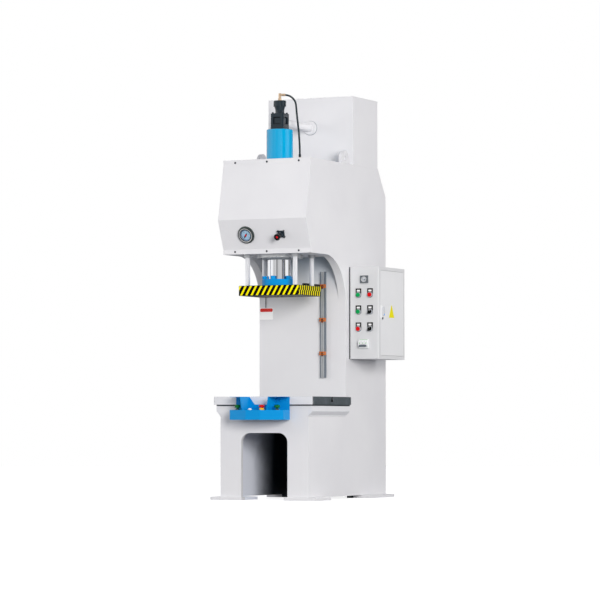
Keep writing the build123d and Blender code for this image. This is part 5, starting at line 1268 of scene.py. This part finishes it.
label = Finish("printed_label_plate")
label_x, label_low_z, label_top_z = -0.2975, 1.331, 1.418
label_half = 0.0545
band_half, band_rise, band_round = 0.0435, 0.0045, 0.0085
band_z = label_top_z - 0.0165
past_x = label.math("MAXIMUM", label.minus(label.from_plane("X", label_x), band_half), 0.0)
past_z = label.math("MAXIMUM", label.minus(label.from_plane("Z", band_z), band_rise), 0.0)
past = label.math("SQRT", label.plus(label.times(past_x, past_x), label.times(past_z, past_z)))
is_band = label.below(past, band_round)
label.set(
    Base_Color=label.mix(is_band, rgb(255, 255, 255), rgb(214, 40, 30)),
    Roughness=label.patches(60.0, 3.0, 0.3, 0.42),
)
label.relief(label.noise(500.0, 2.0), 0.00001)
label_place = on_front(label_x, column_y, label_low_z)
label_outline = rounded(block(-label_half, label_half, 0, label_top_z - label_low_z), 0.005)
thin_plate("column_label_plate", label_outline, label_place, label.material, "frame")

dark_rod_x, dark_rod_r, dark_rod_top_z = -0.302, 0.0026, 1.62
dark_rod_foot = Matrix.Translation((dark_rod_x, column_y - dark_rod_r - 0.0002, label_top_z - 0.001))
dark_rod_length = dark_rod_top_z - label_top_z
dark_rod_profile = [(0, 0), (dark_rod_r, 0.0004), (dark_rod_r, dark_rod_length - 0.0004), (0, dark_rod_length)]
dark_rod = bmesh.new()
spun(dark_rod, dark_rod_profile, dark_rod_foot, sides=16)
button_screw(dark_rod, on_front(dark_rod_x, column_y, dark_rod_top_z), 0.007, 0.006)
new_piece("label_dark_rod", dark_rod, black_screw, "frame")

triangle_yellow = moulded("triangle_yellow", rgb(236, 226, 10), 0.35)
triangle = rounded([(-0.048, 0), (0.048, 0), (0, 0.097)], 0.004)
on_panel = on_door(door_face_x, 0.2545, 1.340)
thin_plate("door_triangle_plate", triangle, on_panel, triangle_yellow, "cabinet_door")


# Stage: a plain pale floor, three soft lamps and the camera where the photographer stood.
# The world behind is white to the camera, and what bright metal mirrors is kept apart.
floor_mesh = bmesh.new()
floor_r, floor_gap = 16, 0.0005
floor_profile = [(0, 0), (floor_r, 0), (floor_r, -0.02), (0, -0.02)]
spun(floor_mesh, floor_profile, Matrix.Translation((0, 0, -floor_gap)), sides=64)
bmesh.ops.recalc_face_normals(floor_mesh, faces=floor_mesh.faces)
floor_data = bpy.data.meshes.new("studio_floor")
floor_mesh.to_mesh(floor_data)
floor_mesh.free()
floor = bpy.data.objects.new("studio_floor", floor_data)
bpy.context.scene.collection.objects.link(floor)
floor_paint = Finish("studio_floor_paint")
floor_paint.set(Base_Color=(0.38, 0.385, 0.40, 1.0), Roughness=0.9)
rays = floor_paint.add("ShaderNodeLightPath")
seen = floor_paint.math("MAXIMUM", rays.outputs["Is Camera Ray"], rays.outputs["Is Transmission Ray"])
lift = floor_paint.add("ShaderNodeEmission")
floor_paint.feed(lift.inputs["Color"], (1, 1, 1, 1))
floor_paint.feed(lift.inputs["Strength"], floor_paint.times(seen, 0.86))
both = floor_paint.add("ShaderNodeAddShader")
floor_paint.feed(both.inputs[0], floor_paint.surface.outputs[0])
floor_paint.feed(both.inputs[1], lift.outputs[0])
floor_paint.feed(floor_paint.tree.nodes["Material Output"].inputs["Surface"], both.outputs[0])
floor_data.materials.append(floor_paint.material)

world = bpy.data.worlds.new("studio_world")
world.use_nodes = True
bpy.context.scene.world = world
sky = Nodes(world.node_tree, "Generated")
rays = sky.add("ShaderNodeLightPath")
seen = sky.math("MAXIMUM", rays.outputs["Is Camera Ray"], rays.outputs["Is Transmission Ray"])
plain_sky = sky.mix(seen, (0.445, 0.45, 0.468, 1.0), (1.0, 1.0, 1.0, 1.0))

# Bright metal mirrors a white studio with dark flags. Each stop is a bearing in degrees, from
# straight ahead towards the machine's right, and how bright the studio is there.
studio_stops = [
    (-180, 0.08),
    (-118, 0.95),
    (-72, 1.10),
    (-46, 1.05),
    (-32, 0.60),
    (-23, 0.52),
    (-17, 0.95),
    (-11, 0.44),
    (4, 0.36),
    (15, 0.70),
    (45, 0.62),
    (52, 0.03),
    (71, 0.02),
    (81, 0.90),
    (96, 1.05),
    (110, 0.90),
    (123, 0.08),
    (180, 0.06),
]
bearing = sky.math("ARCTAN2", sky.axis("X"), sky.times(sky.axis("Y"), -1.0))
studio = sky.add("ShaderNodeValToRGB")
sky.feed(studio.inputs[0], sky.span(bearing, -pi, pi, 0.0, 1.0))
stops = studio.color_ramp.elements
while len(stops) < len(studio_stops):
    stops.new(0.5)
for stop, (degrees, bright) in zip(stops, studio_stops):
    stop.position = (degrees + 180) / 360
    stop.color = (bright, bright, bright, 1.0)
mirrored = sky.mix(rays.outputs["Is Glossy Ray"], plain_sky, studio.outputs[0])
sky.feed(sky.tree.nodes["Background"].inputs["Color"], mirrored)


def lamp(name, spot, target, size, power):
    """A square soft lamp that looks at a point."""
    data = bpy.data.lights.new(name, "AREA")
    data.shape = "SQUARE"
    data.size = size
    data.energy = power
    data.color = (1.0, 0.978, 0.948)
    piece = bpy.data.objects.new(name, data)
    bpy.context.scene.collection.objects.link(piece)
    piece.location = spot
    piece.rotation_euler = (Vector(target) - Vector(spot)).to_track_quat("-Z", "Y").to_euler()
    piece.visible_glossy = False


lamp("fill_lamp", (-10.6, -4.9, 3.4), (0, 0, 1.5), 6.5, 360)
lamp("key_lamp", (7.9, -9.2, 3.1), (0, 0, 1.4), 3.6, 1070)
lamp("side_lamp", (11.5, 1.6, 4.0), (0, 0, 1.5), 5.0, 265)

tilt_up, turned_right = radians(2.31), radians(25.83)
camera_data = bpy.data.cameras.new("camera")
camera_data.sensor_width = 36
camera_data.lens = 181.48
camera_data.clip_end = 200
camera = bpy.data.objects.new("camera", camera_data)
bpy.context.scene.collection.objects.link(camera)
camera.location = (9.775, -20.276, 0.566)
camera.rotation_euler = (radians(90) + tilt_up, 0, turned_right)
bpy.context.scene.camera = camera
bpy.context.scene.view_settings.view_transform = "Standard"
